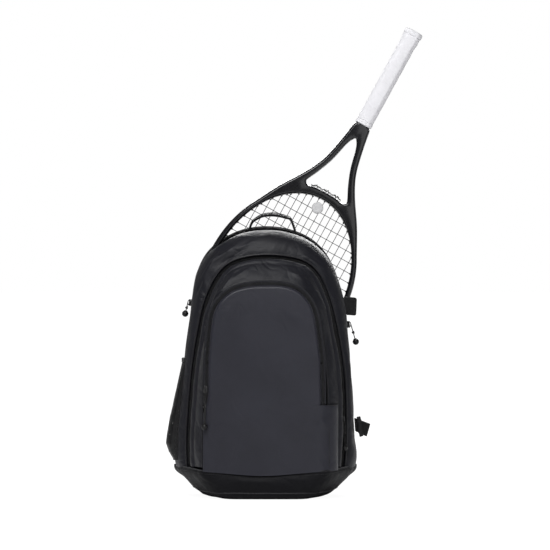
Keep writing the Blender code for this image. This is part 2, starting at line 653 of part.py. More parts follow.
def shoulder_strap(side, label):
    """A padded S-shaped shoulder strap with its ladder lock, both hanging from the top edge."""
    centre = smooth_path(((0.048, 0.452), (0.068, 0.380), (0.080, 0.300), (0.078, 0.235), (0.072, 0.196)), 17)
    width = np.interp(np.linspace(0, 1, 17), (0, 0.15, 0.6, 1), (0.050, 0.062, 0.058, 0.036))
    normal = plane_normals(centre)[:, [0, 2]]
    left = centre + normal * width[:, None] / 2
    right = centre - normal * width[:, None] / 2
    outline = np.vstack([left, right[::-1]]) * (side, 1)
    area = np.sum(outline[:, 0] * np.roll(outline[:, 1], -1) - np.roll(outline[:, 0], -1) * outline[:, 1])
    outline = outline[::-1] if area > 0 else outline
    item = slab("shoulder_strap_" + label, outline, STRAP_FRONT_Y, STRAP_FRONT_Y + STRAP_THICK, MESH, 0.0030)
    pivot(item, (side * STRAP_TOP[0], STRAP_FRONT_Y, STRAP_TOP[1]))
    x, wide, tall = side * 0.0720, 0.0170, 0.0130
    corners = ((-wide, -tall), (-wide, tall), (wide, tall), (wide, -tall))
    frame = [(x + across, LOCK_Z + up) for across, up in corners]
    holes = [[(x - 0.0135, z), (x - 0.0135, z + 0.0045), (x + 0.0135, z + 0.0045), (x + 0.0135, z)]
             for z in (LOCK_Z - 0.0095, LOCK_Z + 0.0045)]
    near, far = STRAP_FRONT_Y + 0.0035, STRAP_FRONT_Y + 0.0075
    lock = plate("ladder_lock_" + label, [frame] + holes, near, far, PLASTIC)
    pivot(lock, (side * STRAP_TOP[0], STRAP_FRONT_Y, STRAP_TOP[1]))


def lower_webbing(side, label):
    """The webbing from the pack's lower corner to the ladder lock, and its sewn corner tab."""
    keys = ((0.1180, 0.0720), (0.1050, 0.1080), (0.0880, 0.1440), (0.0730, 0.1800))
    path = smooth_path([(side * x, z) for x, z in keys], 9)
    depth = np.interp(np.linspace(0, 1, 9), (0, 1), (0.1045, 0.1030))
    line = np.column_stack([path[:, 0], depth, path[:, 1]])
    section = rectangle(WEB_WIDTH, WEB_THICK)
    item = sweep("lower_webbing_" + label, line, plane_normals(path), (0, 1, 0), section, WEBBING)
    pivot(item, (side * 0.1180, 0.1045, 0.0720))
    tab = [(0.1120, 0.0400), (0.1110, 0.0600), (0.1150, 0.0900), (0.1380, 0.0840), (0.1420, 0.0500)]
    outline = np.array(tab) * (side, 1)
    outline = outline if side > 0 else outline[::-1]
    slab("strap_anchor_" + label, outline, BACK_REAR_Y + GAP, BACK_REAR_Y + 0.0024, NYLON)


def side_straps():
    """The two stick straps on the right: a folded tab, and a webbing loop with its tri-glide."""
    y = 0.0330
    high, low = (reach(HOOD, 1, z) + 0.0014 for z in (0.352, 0.319))
    far = high + 0.0235
    outline = np.array([(high, 0.3520), (far - 0.0020, 0.3500), (far, 0.3470), (far - 0.0012, 0.3200),
                        (far - 0.0032, 0.3180), (low, 0.3190)])
    tab = slab("stick_strap_upper", outline, y - 0.0030, y + 0.0030, WEBBING, 0.0010)
    pivot(tab, (low - 0.0010, y - 0.0030, 0.3355))
    high, low = (reach(HOOD, 1, z) + 0.0014 for z in (0.137, 0.113))
    outline = np.array([(high, 0.1370), (high + 0.0290, 0.1260), (high + 0.0225, 0.1030), (low, 0.1130)])
    strap = slab("stick_strap_lower", outline, y - 0.0022, y + 0.0022, WEBBING, 0.0008)
    pivot(strap, (low, y - 0.0022, 0.1250))
    corners = ((0.0040, 0.1385), (0.0110, 0.1400), (0.0165, 0.1045), (0.0095, 0.1025))
    glide = slab("tri_glide", np.array(corners) + (high, 0), y - 0.0050, y - 0.0022 - GAP, PLASTIC, 0.0006)
    pivot(glide, (low, y - 0.0022, 0.1250))


# ---- Racket, in its own frame: x across, z from the head's centre to the butt -----------------------
def frame_outlines():
    """The racket frame's edge, head opening and throat opening."""
    start = math.acos(-0.1070 / HEAD_HALF_LENGTH)
    head = ellipse(HEAD_HALF_WIDTH, HEAD_HALF_LENGTH, 56, -start + 0.06, start - 0.06)
    shaft = smooth_path(SHAFT_KEYS, 16)
    handle = np.array([(PALLET_HALF, GRIP_START), (PALLET_HALF, GRIP_END - 0.004)])
    right = np.vstack([shaft, handle])
    left = (right * (-1, 1))[::-1]
    outer = np.vstack([head, right, left])
    hoop = ellipse(HOOP_HALF_WIDTH, HOOP_HALF_LENGTH, 56, centre_z=0.0010)
    side = smooth_path(THROAT_KEYS, 15)
    throat = np.vstack([side, (side[1:-1] * (-1, 1))[::-1]])
    return outer, hoop, throat


def racket_frame():
    """The graphite frame: head, yoke, shafts and the pallet inside the grip, as one moulding."""
    return [plate("racket_frame", frame_outlines(), -BEAM / 2, BEAM / 2, PAINT)]


def edge_height(x):
    """Half length of the string area at a distance from the racket's axis."""
    share = x / (HOOP_HALF_WIDTH - STRING_MARGIN)
    return (HOOP_HALF_LENGTH - STRING_MARGIN) * math.sqrt(max(0.0, 1 - share ** 2))


def main_offsets():
    """Distances of the main strings from the axis, wider apart towards the edge."""
    right = [MAIN_PITCH * (k + 0.5) * (1 + 0.0022 * k * k) for k in range(MAINS_PER_SIDE)]
    return [-x for x in reversed(right)] + right


def cross_heights():
    """Heights of the cross strings, wider apart towards the tip and the yoke."""
    return [CROSS_PITCH * k * (1 + 0.00136 * k * k) for k in range(-CROSSES_PER_SIDE, CROSSES_PER_SIDE + 1)]


def serpentine(name, path, y_front, y_rear):
    """One continuous string that runs to and fro, flat in its own plane."""
    path = np.array(path)
    left, right = inset(path, -STRING_WIDTH / 2), inset(path, STRING_WIDTH / 2)
    front = np.stack([at_depth(left, y_front), at_depth(right, y_front)])
    rear = np.stack([at_depth(left, y_rear), at_depth(right, y_rear)])
    return two_skins(name, front, rear, STRING)


def strings():
    """The mains and the crosses, each one long string."""
    mains, crosses = [], []
    for k, x in enumerate(main_offsets()):
        ends = [(x, -edge_height(x)), (x, edge_height(x))]
        mains += ends if k % 2 == 0 else ends[::-1]
    for k, z in enumerate(cross_heights()):
        share = z / (HOOP_HALF_LENGTH - STRING_MARGIN)
        end = (HOOP_HALF_WIDTH - STRING_MARGIN) * math.sqrt(1 - share ** 2)
        ends = [(-end, z), (end, z)]
        crosses += ends if k % 2 == 0 else ends[::-1]
    return [serpentine("main_strings", mains, 0.0002, 0.0002 + STRING_WIDTH),
            serpentine("cross_strings", crosses, -0.0002 - STRING_WIDTH, -0.0002)]


def damper():
    """A button vibration damper: two discs joined by a web between the middle strings."""
    z = cross_heights()[-1]
    profile = [(0, 0.0090), (0.0008, 0.0105), (0.0022, 0.0105), (0.0030, 0.0096)]
    web = [(0.0030, 0.0034), (0.0072, 0.0034)]
    back = [(0.0072, 0.0096), (0.0080, 0.0105), (0.0094, 0.0105), (0.0102, 0.0090)]
    centre = (0, -0.0051, z + 0.0052)
    return [lathe("vibration_damper", profile + web + back, centre, (0, 1, 0), RUBBER, 20)]


def head_guard():
    """The bumper strip over the racket's tip."""
    turn = 1.05
    inner = ellipse(HEAD_HALF_WIDTH + GAP, HEAD_HALF_LENGTH + GAP, 31, -turn, turn)
    outer = ellipse(HEAD_HALF_WIDTH + 0.0021, HEAD_HALF_LENGTH + 0.0021, 31, -turn, turn)
    return [band("head_guard", outer, inner, -0.0060, 0.0060, GROMMET)]


def yoke_strip():
    """The three-humped grommet strip on the throat side of the yoke."""
    x = np.linspace(-0.0300, 0.0300, 25)
    low = 0.1815 - 0.0013 * (x / 0.0240) ** 2 + GAP
    top = low + 0.0014 + 0.0012 * (0.5 + 0.5 * np.cos(x / 0.0200 * math.tau))
    upper, lower = np.column_stack([x, top]), np.column_stack([x, low + 0.0002])
    return [band("yoke_grommets", upper, lower, -0.0042, 0.0042, GROMMET)]


def octagon(half, z, deep=0.90):
    """An eight-sided handle section at a height."""
    cut = half * 0.42
    corners = ((-half + cut, -1), (half - cut, -1), (half, -0.48), (half, 0.48), (half - cut, 1),
               (-half + cut, 1), (-half, 0.48), (-half, -0.48))
    return [(x, y * half * deep, z) for x, y in corners]


def bore_ring(z):
    """The rectangular bore round the pallet, with eight points to match the octagon's corners."""
    w, h, cut = BORE_WIDE, BORE_DEEP, 0.0004
    corners = ((-w + cut, -h), (w - cut, -h), (w, -h + cut), (w, h - cut), (w - cut, h), (-w + cut, h),
               (-w, h - cut), (-w, -h + cut))
    return [(x, y, z) for x, y in corners]


def handle_parts():
    """The overgrip sleeve, its finishing band and the butt cap."""
    start = GRIP_START + GAP
    collar = start + 0.0080
    levels = ((0.0152, collar + GAP), (0.0152, 0.4800), (0.0160, 0.4920), (0.0170, GRIP_END))
    wrap = [octagon(half, z) for half, z in levels]
    hollow = [bore_ring(GRIP_END), bore_ring(collar + GAP)]
    sleeve = tube("grip", wrap + hollow, GRIP)
    levels = ((0.0149, start), (0.0155, start + 0.001), (0.0155, collar))
    outside = [octagon(half, z) for half, z in levels]
    ring = tube("grip_collar", outside + [bore_ring(collar), bore_ring(start)], GRIP)
    levels = ((0.0170, GRIP_END + GAP), (0.0172, 0.5050), (0.0150, BUTT_END))
    cap = loft("butt_cap", [octagon(half, z) for half, z in levels], GRIP)
    return [sleeve, ring, cap]


def racket():
    """Everything on the racket, tilted into the sleeve."""
    axis = bpy.data.objects.new("racket_axis", None)
    bpy.context.scene.collection.objects.link(axis)
    axis.location = HEAD_CENTRE
    axis.rotation_euler = (0, RACKET_TILT, 0)
    pieces = racket_frame() + strings() + damper() + head_guard() + yoke_strip() + handle_parts()
    for piece in pieces:
        piece.parent = axis


def build():
    """Builds the pack, then the racket in its sleeve."""
    clear_scene()
    back_panel()
    back_pads()
    racket_divider()
    racket_rest()
    base_panel()
    main_shell()
    hood_piping()
    rear_gussets()
    mouth_tapes()
    main_zip()
    main_flap()
    front_pocket()
    mesh_pocket()
    zip_pulls()
    grab_handle()
    for side, label in ((-1, "left"), (1, "right")):
        shoulder_strap(side, label)
        lower_webbing(side, label)
    side_straps()
    racket()


build()
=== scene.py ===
"""Looks of the racket backpack: sewn cloth, zips, webbing and the racket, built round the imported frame."""
import json
import math

import bmesh
import bpy
import numpy as np
from mathutils import Matrix, Vector, noise


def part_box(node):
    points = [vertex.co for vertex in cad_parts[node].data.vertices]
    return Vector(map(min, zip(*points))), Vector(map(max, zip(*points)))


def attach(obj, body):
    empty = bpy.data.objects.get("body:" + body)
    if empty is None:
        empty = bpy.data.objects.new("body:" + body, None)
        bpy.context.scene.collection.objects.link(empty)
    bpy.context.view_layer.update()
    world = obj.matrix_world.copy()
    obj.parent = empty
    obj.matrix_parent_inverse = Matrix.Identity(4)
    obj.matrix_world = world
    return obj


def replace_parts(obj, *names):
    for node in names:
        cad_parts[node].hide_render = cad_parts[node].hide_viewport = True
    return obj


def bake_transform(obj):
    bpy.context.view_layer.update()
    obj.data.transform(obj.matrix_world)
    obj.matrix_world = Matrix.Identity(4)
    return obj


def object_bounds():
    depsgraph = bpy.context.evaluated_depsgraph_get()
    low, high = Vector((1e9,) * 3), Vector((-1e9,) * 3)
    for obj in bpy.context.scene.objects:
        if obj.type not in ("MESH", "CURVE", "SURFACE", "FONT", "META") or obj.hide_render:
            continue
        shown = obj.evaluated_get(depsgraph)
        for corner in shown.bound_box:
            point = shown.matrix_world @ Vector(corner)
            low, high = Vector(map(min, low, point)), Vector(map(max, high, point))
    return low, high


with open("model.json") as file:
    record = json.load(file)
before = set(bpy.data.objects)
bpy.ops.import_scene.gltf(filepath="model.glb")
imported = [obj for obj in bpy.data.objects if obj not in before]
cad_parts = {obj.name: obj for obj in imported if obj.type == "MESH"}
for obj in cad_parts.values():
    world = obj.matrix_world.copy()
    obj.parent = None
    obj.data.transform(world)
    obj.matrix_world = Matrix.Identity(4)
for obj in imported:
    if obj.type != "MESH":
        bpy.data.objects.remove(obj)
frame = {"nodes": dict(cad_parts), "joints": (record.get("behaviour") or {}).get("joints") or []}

CAD_LOW, CAD_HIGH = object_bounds()
JOINTS = {j["name"]: j for j in frame["joints"]}
NODES = frame["nodes"]
SCENE = bpy.context.scene

# Racket layout, in its own frame: x across the head, z from the head's centre to the butt
RACKET_AXIS = Vector(JOINTS["racket_slide"]["axis"])
MAIN_PITCH = 0.0115
CROSS_PITCH = 0.0145
MAINS_PER_SIDE = 8
CROSSES_PER_SIDE = 9
STRING_R = 0.00066

# Cloth thicknesses
CLOTH = 0.0012
TAPE_CLOTH = 0.0008

MM = 0.001
ARCH_POINTS = 181
FRONT = (0, -1, 0)
REAR = (0, 1, 0)
SIDES = ((-1, "left"), (1, "right"))


# ---- Points and outlines --------------------------------------------------------------------------
def points_of(node):
    """A CAD node's vertices at rest, in the row frame."""
    return np.array([v.co for v in NODES[node].data.vertices], float).reshape(-1, 3)


def hull(points):
    """Convex outline of 2D points, clockwise seen with x right and z up, from the lowest left point."""
    unique = sorted({(round(float(x), 6), round(float(z), 6)) for x, z in points})
    def chain(order):
        kept = []
        for p in order:
            while len(kept) > 1:
                (ax, az), (bx, bz) = kept[-2], kept[-1]
                if (bx - ax) * (p[1] - az) - (bz - az) * (p[0] - ax) >= 0:
                    kept.pop()
                else:
                    break
            kept.append(p)
        return kept[:-1]
    return np.array(chain(unique) + chain(unique[::-1]))


def smooth_path(keys, count):
    """Catmull-Rom curve through the keys, resampled to equal steps of length."""
    keys = np.array(keys, float)
    padded = np.vstack([2 * keys[0] - keys[1], keys, 2 * keys[-1] - keys[-2]])
    dense = []
    for i in range(1, len(padded) - 2):
        a, b, c, d = padded[i - 1:i + 3]
        for t in np.linspace(0, 1, 12, endpoint=False):
            dense.append(0.5 * (2 * b + (c - a) * t + (2 * a - 5 * b + 4 * c - d) * t * t
                                + (3 * b - a - 3 * c + d) * t ** 3))
    dense.append(padded[-2])
    return resample(np.array(dense), count)


def resample(path, count):
    """Points at equal steps of length along a path."""
    run = np.r_[0, np.cumsum(np.linalg.norm(np.diff(path, axis=0), axis=1))]
    steps = np.linspace(0, run[-1], count)
    return np.column_stack([np.interp(steps, run, path[:, k]) for k in range(path.shape[1])])


def arch_of(node, y_low, y_high, count):
    """The arch of a node's vertices between two depths: bottom left, over the top, to bottom right."""
    pts = points_of(node)
    pts = pts[(pts[:, 1] >= y_low) & (pts[:, 1] <= y_high)][:, [0, 2]]
    ring = hull(pts)
    low = ring[:, 1].min() + 0.004
    feet = [i for i in range(len(ring)) if ring[i][1] < low]
    left = min(feet, key=lambda i: ring[i][0])
    right = max(feet, key=lambda i: ring[i][0])
    return eased(resample(walk(ring, left, right), count), 3)


def closed(ring):
    """A ring with its first point again at its end."""
    return np.vstack([ring, ring[:1]])


def even_ring(ring, count):
    """A ring's outline as a count of points at equal steps."""
    return resample(closed(ring), count + 1)[:-1]


def walk(ring, start, end):
    """The stretch of a ring from one index on to another."""
    return np.array([ring[(start + k) % len(ring)] for k in range((end - start) % len(ring) + 1)])


def eased(path, passes, wrap=False):
    """Rounds an outline's small corners by averaging neighbours."""
    for _ in range(passes):
        mean = (np.roll(path, 1, axis=0) + path * 2 + np.roll(path, -1, axis=0)) / 4
        if not wrap:
            mean[0], mean[-1] = path[0], path[-1]
        path = mean
    return path


def side_normals(path, wrap=False):
    """Inward unit normals of a clockwise outline."""
    if wrap:
        before, after = np.roll(path, 1, axis=0), np.roll(path, -1, axis=0)
    else:
        before = np.vstack([2 * path[0] - path[1], path[:-1]])
        after = np.vstack([path[1:], 2 * path[-1] - path[-2]])
    tangent = after - before
    tangent /= np.linalg.norm(tangent, axis=1)[:, None]
    return np.column_stack([tangent[:, 1], -tangent[:, 0]])


def inset(path, distance, wrap=False):
    """Moves a clockwise outline inward."""
    return path + side_normals(path, wrap) * np.asarray(distance).reshape(-1, 1)


def at_depth(path, y):
    """XZ outline points placed at a depth, which may differ from point to point."""
    return np.column_stack([path[:, 0], np.broadcast_to(y, len(path)), path[:, 1]])


def swell(x):
    """Smooth step from 0 to 1."""
    x = np.clip(x, 0, 1)
    return x * x * (3 - 2 * x)


def ruffle(point, size, seed):
    """Smooth noise from -1 to 1 at a point, for a feature size."""
    p = Vector(point) / size
    return noise.noise(p + Vector((seed * 7.13, seed * 3.71, seed * 5.17)))


# ---- Mesh builders --------------------------------------------------------------------------------
def piece(name, verts, faces, material, body=None, smooth=40.0):
    """A mesh piece with its material, riding on a body."""
    mesh = bpy.data.meshes.new(name)
    mesh.from_pydata([tuple(map(float, v)) for v in verts], [], faces)
    shape = bmesh.new()
    shape.from_mesh(mesh)
    bmesh.ops.recalc_face_normals(shape, faces=shape.faces)
    shape.to_mesh(mesh)
    shape.free()
    mesh.shade_smooth()
    mesh.set_sharp_from_angle(angle=math.radians(smooth))
    item = bpy.data.objects.new(name, mesh)
    SCENE.collection.objects.link(item)
    return dress(item, material, body)


def dress(item, material, body=None):
    """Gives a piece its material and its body."""
    item.data.materials.clear()
    item.data.materials.append(material)
    if body:
        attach(item, body)
    return item


def grid_faces(rows, cols, wrap=False, start=0):
    """Quads of a grid of vertices; wrap joins each row's end to its start."""
    faces = []
    for r in range(rows - 1):
        for c in range(cols if wrap else cols - 1):
            n = (c + 1) % cols
            faces.append((start + r * cols + c, start + r * cols + n, start + (r + 1) * cols + n,
                          start + (r + 1) * cols + c))
    return faces


def capped(rows, cols):
    """Quads of a grid whose rows are rings, with a flat face over each end."""
    return grid_faces(rows, cols, True) + [tuple(range(cols)), tuple(range((rows - 1) * cols, rows * cols))]


def cloth(name, grid, material, body=None, wrap=False, thickness=CLOTH):
    """A cloth surface from a grid of points, given its thickness by a Solidify modifier."""
    grid = np.asarray(grid, float)
    rows, cols = grid.shape[:2]
    item = piece(name, grid.reshape(-1, 3), grid_faces(rows, cols, wrap), material, None)
    solidify = item.modifiers.new("thickness", "SOLIDIFY")
    solidify.thickness = thickness
    solidify.offset = 0.0
    apply_modifiers(item)
    if body:
        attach(item, body)
    return item


def apply_modifiers(item):
    """Bakes an object's modifiers into its mesh."""
    bpy.context.view_layer.update()
    graph = bpy.context.evaluated_depsgraph_get()
    mesh = bpy.data.meshes.new_from_object(item.evaluated_get(graph))
    item.modifiers.clear()
    item.data = mesh
    mesh.shade_smooth()
    mesh.set_sharp_from_angle(angle=math.radians(40))


def tube(name, path, radius, material, body=None, sides=8, wrap=False):
    """A round cord along a path; radius may be a number or one per point."""
    verts, faces = tube_mesh(path, radius, sides=sides, wrap=wrap)
    return piece(name, verts, faces, material, body, smooth=60)


def tube_mesh(path, radius, sides=8, wrap=False, start=0):
    """Vertices and faces of a round cord along a path."""
    path = np.asarray(path, float)
    if wrap:
        tangent = np.roll(path, -1, axis=0) - np.roll(path, 1, axis=0)
    else:
        tangent = np.gradient(path, axis=0)
    tangent /= np.linalg.norm(tangent, axis=1)[:, None]
    radius = np.broadcast_to(radius, len(path))
    guide = np.array([0.0, 1.0, 0.0]) if abs(tangent[0][1]) < 0.9 else np.array([1.0, 0.0, 0.0])
    verts = []
    for i, t in enumerate(tangent):
        guide = guide - t * (guide @ t)
        guide /= np.linalg.norm(guide)
        other = np.cross(t, guide)
        for k in range(sides):
            a = math.tau * k / sides
            verts.append(path[i] + radius[i] * (guide * math.cos(a) + other * math.sin(a)))
    rows = len(path)
    faces = []
    for r in range(rows if wrap else rows - 1):
        s = (r + 1) % rows
        for k in range(sides):
            n = (k + 1) % sides
            faces.append((start + r * sides + k, start + r * sides + n, start + s * sides + n,
                          start + s * sides + k))
    if not wrap:
        faces.append(tuple(start + k for k in reversed(range(sides))))
        faces.append(tuple(start + (rows - 1) * sides + k for k in range(sides)))
    return verts, faces


def merged(name, parts, material, body=None, smooth=60):
    """One piece from many (vertices, faces) parts."""
    verts, faces = [], []
    for v, f in parts:
        base = len(verts)
        verts.extend(v)
        faces.extend(tuple(base + i for i in face) for face in f)
    return piece(name, verts, faces, material, body, smooth=smooth)


def ribbon(name, path, across, width, thickness, material, body=None):
    """A flat webbing along a 3D path; across is its width direction, one vector or one per point."""
    path = np.asarray(path, float)
    across = np.broadcast_to(np.asarray(across, float), path.shape).copy()
    tangent = np.gradient(path, axis=0)
    tangent /= np.linalg.norm(tangent, axis=1)[:, None]
    across -= tangent * np.sum(across * tangent, axis=1)[:, None]
    across /= np.linalg.norm(across, axis=1)[:, None]
    out = np.cross(tangent, across)
    width = np.broadcast_to(width, len(path))
    profile = [(-0.5, -0.30), (-0.47, -0.5), (-0.25, -0.5), (0, -0.5), (0.25, -0.5), (0.47, -0.5),
               (0.5, -0.30), (0.5, 0.30), (0.47, 0.5), (0.25, 0.5), (0, 0.5), (-0.25, 0.5), (-0.47, 0.5),
               (-0.5, 0.30)]
    verts = []
    for i, p in enumerate(path):
        for u, v in profile:
            verts.append(p + across[i] * u * width[i] + out[i] * v * thickness)
    n = len(profile)
    faces = grid_faces(len(path), n, True)
    faces.append(tuple(reversed(range(n))))
    faces.append(tuple(range((len(path) - 1) * n, len(path) * n)))
    return piece(name, verts, faces, material, body, smooth=50)


def box_parts(centre, axes, size):
    """Vertices and faces of a small box with its own axes."""
    c = np.asarray(centre, float)
    a, b, d = (np.asarray(v, float) * s / 2 for v, s in zip(axes, size))
    verts = [c + i * a + j * b + k * d for i in (-1, 1) for j in (-1, 1) for k in (-1, 1)]
    return verts, [(0, 1, 3, 2), (4, 6, 7, 5), (0, 4, 5, 1), (2, 3, 7, 6), (0, 2, 6, 4), (1, 5, 7, 3)]


def bevelled(item, width, segments=2):
    """Rounds an object's edges for good."""
    bevel = item.modifiers.new("edges", "BEVEL")
    bevel.width = width
    bevel.segments = segments
    bevel.limit_method = "ANGLE"
    apply_modifiers(item)
    return item


# ---- Materials ------------------------------------------------------------------------------------
def node_maker(tree):
    """A function that adds a node to a tree, each input set to a value or joined to an earlier output."""
    def node(kind, inputs=None, **properties):
        item = tree.nodes.new("ShaderNode" + kind)
        for key, value in properties.items():
            setattr(item, key, value)
        for key, value in (inputs or {}).items():
            if isinstance(value, bpy.types.NodeSocket):
                tree.links.new(value, item.inputs[key])
            else:
                item.inputs[key].default_value = value
        return item
    return node


def look(name, colour, roughness, tint=0.25, grain=0.0, grain_size=0.0006, bump=0.1, mottle=0.03, weave=0.0,
         weave_size=0.0012, sheen=0.0, coat=0.0, rough_spread=0.12, wear=0.0, diagonal=False, shine=0.4,
         crumple=0.0):
    """A procedural material: mottled colour, uneven roughness, and grain, weave and crumples as relief."""
    made = bpy.data.materials.new(name)
    made.use_nodes = True
    tree = made.node_tree
    node = node_maker(tree)
    shader = tree.nodes["Principled BSDF"]

    def figure(operation, *terms):
        return node("Math", dict(enumerate(terms)), operation=operation).outputs[0]

    def mixed(factor, first, second, blend="MIX"):
        return node("Mix", {"Factor": factor, 6: first, 7: second}, data_type="RGBA",
                    blend_type=blend).outputs[2]

    where = node("TexCoord").outputs["Object"]
    clouds = node("TexNoise",
                  {"Vector": where, "Scale": 1 / mottle, "Detail": 4.0, "Roughness": 0.6}).outputs["Fac"]
    patches = node("MapRange", {"Value": clouds, "From Min": 0.3, "From Max": 0.7}).outputs["Result"]
    dark, light = ((*[min(1, c * (1 + change)) for c in colour], 1) for change in (-tint, tint))
    shade = mixed(patches, dark, light)
    if wear:
        edge = node("NewGeometry").outputs["Pointiness"]
        ridge = node("MapRange", {"Value": edge, "From Min": 0.52, "From Max": 0.62,
                                  "To Max": wear}).outputs["Result"]
        shade = mixed(ridge, shade, (*[min(1, c * 3 + 0.02) for c in colour], 1))
    smoothest, roughest = roughness * (1 - rough_spread), min(1.0, roughness * (1 + rough_spread))
    rough = node("MapRange", {"Value": clouds, "To Min": smoothest, "To Max": roughest}).outputs["Result"]
    height = None
    if grain:
        fine = node("TexNoise", {"Vector": where, "Scale": 1 / grain_size, "Detail": 3.0}).outputs["Fac"]
        height = figure("MULTIPLY", fine, grain)
    if weave:
        split = node("SeparateXYZ", {"Vector": where}).outputs
        across = figure("ADD", split["X"], split["Y"])
        up = figure("ADD", split["Z"], across) if diagonal else split["Z"]
        waves = [figure("SINE", figure("MULTIPLY", source, math.tau / weave_size))
                 for source in (across, up)]
        threads = figure("MULTIPLY", *waves)
        relief = figure("MULTIPLY", threads, weave)
        height = figure("ADD", height, relief) if height else relief
        lift = node("MapRange", {"Value": threads, "From Min": -1.0, "To Min": 0.82, "To Max": 1.18})
        shade = mixed(1.0, shade, lift.outputs["Result"], "MULTIPLY")
    if crumple:
        folds = node("TexNoise", {"Vector": where, "Scale": 26.0, "Detail": 1.5, "Roughness": 0.45,
                                  "Distortion": 0.9}).outputs["Fac"]
        crest = figure("ABSOLUTE", figure("SUBTRACT", folds, 0.5))
        height = figure("MULTIPLY_ADD", crest, crumple / (bump * MM), height)
    if height:
        raised = node("Bump", {"Strength": 1.0, "Distance": bump * MM, "Height": height})
        tree.links.new(raised.outputs["Normal"], shader.inputs["Normal"])
    tree.links.new(shade, shader.inputs["Base Color"])
    tree.links.new(rough, shader.inputs["Roughness"])
    finish = {"Specular IOR Level": shine, "Sheen Weight": sheen, "Sheen Roughness": 0.4,
              "Coat Weight": coat, "Coat Roughness": 0.12}
    for key, value in finish.items():
        shader.inputs[key].default_value = value
    made.diffuse_color = (*colour, 1)
    return made


def cells_of(node, size, unevenness):
    """Distances from the middles of a material's small round cells, in nearly even rows."""
    where = node("TexCoord").outputs["Object"]
    cells = node("TexVoronoi", {"Vector": where, "Scale": 1 / size, "Randomness": unevenness})
    return cells.outputs["Distance"]


def pierced(material, hole, open_share):
    """Lets small round holes through a material, as in knitted netting."""
    tree = material.node_tree
    node = node_maker(tree)
    inside = node("Math", {0: cells_of(node, hole, 0.25), 1: open_share}, operation="LESS_THAN").outputs[0]
    clear = node("BsdfTransparent").outputs[0]
    mix = node("MixShader", {0: inside, 1: tree.nodes["Principled BSDF"].outputs[0], 2: clear})
    tree.links.new(mix.outputs[0], tree.nodes["Material Output"].inputs["Surface"])
    return material


def dimpled(material, hole, depth):
    """Adds rows of knitted dimples to a material's relief."""
    tree = material.node_tree
    node = node_maker(tree)
    relief = node("Bump", {"Distance": depth, "Height": cells_of(node, hole, 0.15)})
    tree.links.new(relief.outputs["Normal"], tree.nodes["Principled BSDF"].inputs["Normal"])
    return material


COATED = look("coated_cloth", (0.0092, 0.0094, 0.0142), 0.50, tint=0.16, grain=0.5, grain_size=0.0007,
              bump=0.10, mottle=0.06, sheen=0.05, weave=0.25, weave_size=0.0009, wear=0.10, shine=0.34,
              crumple=0.0044)
PANEL = look("panel_cloth", (0.0225, 0.0228, 0.0330), 0.40, tint=0.12, grain=0.5, grain_size=0.0007,
             bump=0.08, mottle=0.08, sheen=0.05, weave=0.25, weave_size=0.0009, wear=0.10, crumple=0.0012)
BASE = look("base_cloth", (0.0036, 0.0036, 0.0056), 0.60, tint=0.18, grain=0.6, grain_size=0.0008, bump=0.12,
            mottle=0.05, sheen=0.0, weave=0.3, weave_size=0.0011, wear=0.10, shine=0.22, crumple=0.0040)
NYLON = look("nylon_weave", (0.0090, 0.0090, 0.0105), 0.72, tint=0.22, grain=0.3, grain_size=0.0006,
             bump=0.25, mottle=0.02, weave=0.9, weave_size=0.0016, sheen=0.25)
AIRMESH = dimpled(look("air_mesh", (0.0085, 0.0085, 0.0095), 0.80, tint=0.2, mottle=0.02, sheen=0.35),
                  hole=0.0032, depth=0.0012)
NETTING = pierced(look("netting", (0.0100, 0.0100, 0.0110), 0.36, tint=0.25, grain=0.5, grain_size=0.001,
                       bump=0.2, mottle=0.02, sheen=0.2), hole=0.0028, open_share=0.34)
WEBBING = look("webbing", (0.0075, 0.0075, 0.0085), 0.66, tint=0.2, grain=0.3, grain_size=0.0006, bump=0.35,
               mottle=0.02, weave=1.0, weave_size=0.0022, sheen=0.2, diagonal=True)
PIPING = look("piping_cloth", (0.0120, 0.0120, 0.0150), 0.42, tint=0.15, grain=0.4, grain_size=0.0006,
              bump=0.08, mottle=0.03, wear=0.12)
TAPE = look("zip_tape", (0.0060, 0.0060, 0.0072), 0.62, tint=0.2, grain=0.3, grain_size=0.0005, bump=0.20,
            mottle=0.02, weave=0.8, weave_size=0.0011)
COIL = look("zip_coil", (0.0060, 0.0060, 0.0068), 0.34, tint=0.2, grain=0.2, grain_size=0.0005, bump=0.05,
            mottle=0.01)
STITCH = look("thread", (0.0130, 0.0130, 0.0150), 0.60, tint=0.2, grain=0.4, grain_size=0.0003, bump=0.10,
              mottle=0.01, sheen=0.3)
METAL = look("dark_enamel", (0.0100, 0.0100, 0.0110), 0.30, tint=0.25, grain=0.3, grain_size=0.0008,
             bump=0.03, mottle=0.006, coat=0.4, wear=0.35)
RUBBER = look("moulded_pull", (0.0070, 0.0070, 0.0080), 0.42, tint=0.2, grain=0.3, grain_size=0.0007,
              bump=0.04, mottle=0.01, wear=0.15)
PLASTIC = look("buckle_plastic", (0.0080, 0.0080, 0.0090), 0.38, tint=0.2, grain=0.6, grain_size=0.0006,
               bump=0.05, mottle=0.01, wear=0.20)
PAINT = look("racket_lacquer", (0.0065, 0.0065, 0.0085), 0.24, tint=0.25, grain=0.4, grain_size=0.0009,
             bump=0.015, mottle=0.03, coat=0.7, wear=0.15)
GROMMET = look("grommet_plastic", (0.0055, 0.0055, 0.0060), 0.42, tint=0.2, grain=0.3, grain_size=0.0006,
               bump=0.03, mottle=0.01)
STRING = look("string", (0.0170, 0.0170, 0.0190), 0.30, tint=0.25, grain=0.3, grain_size=0.0006, bump=0.02,
              mottle=0.01, coat=0.3)
GRIP = look("overgrip", (0.930, 0.925, 0.960), 0.62, tint=0.03, grain=0.6, grain_size=0.0008, bump=0.12,
            mottle=0.02, sheen=0.15, rough_spread=0.08)
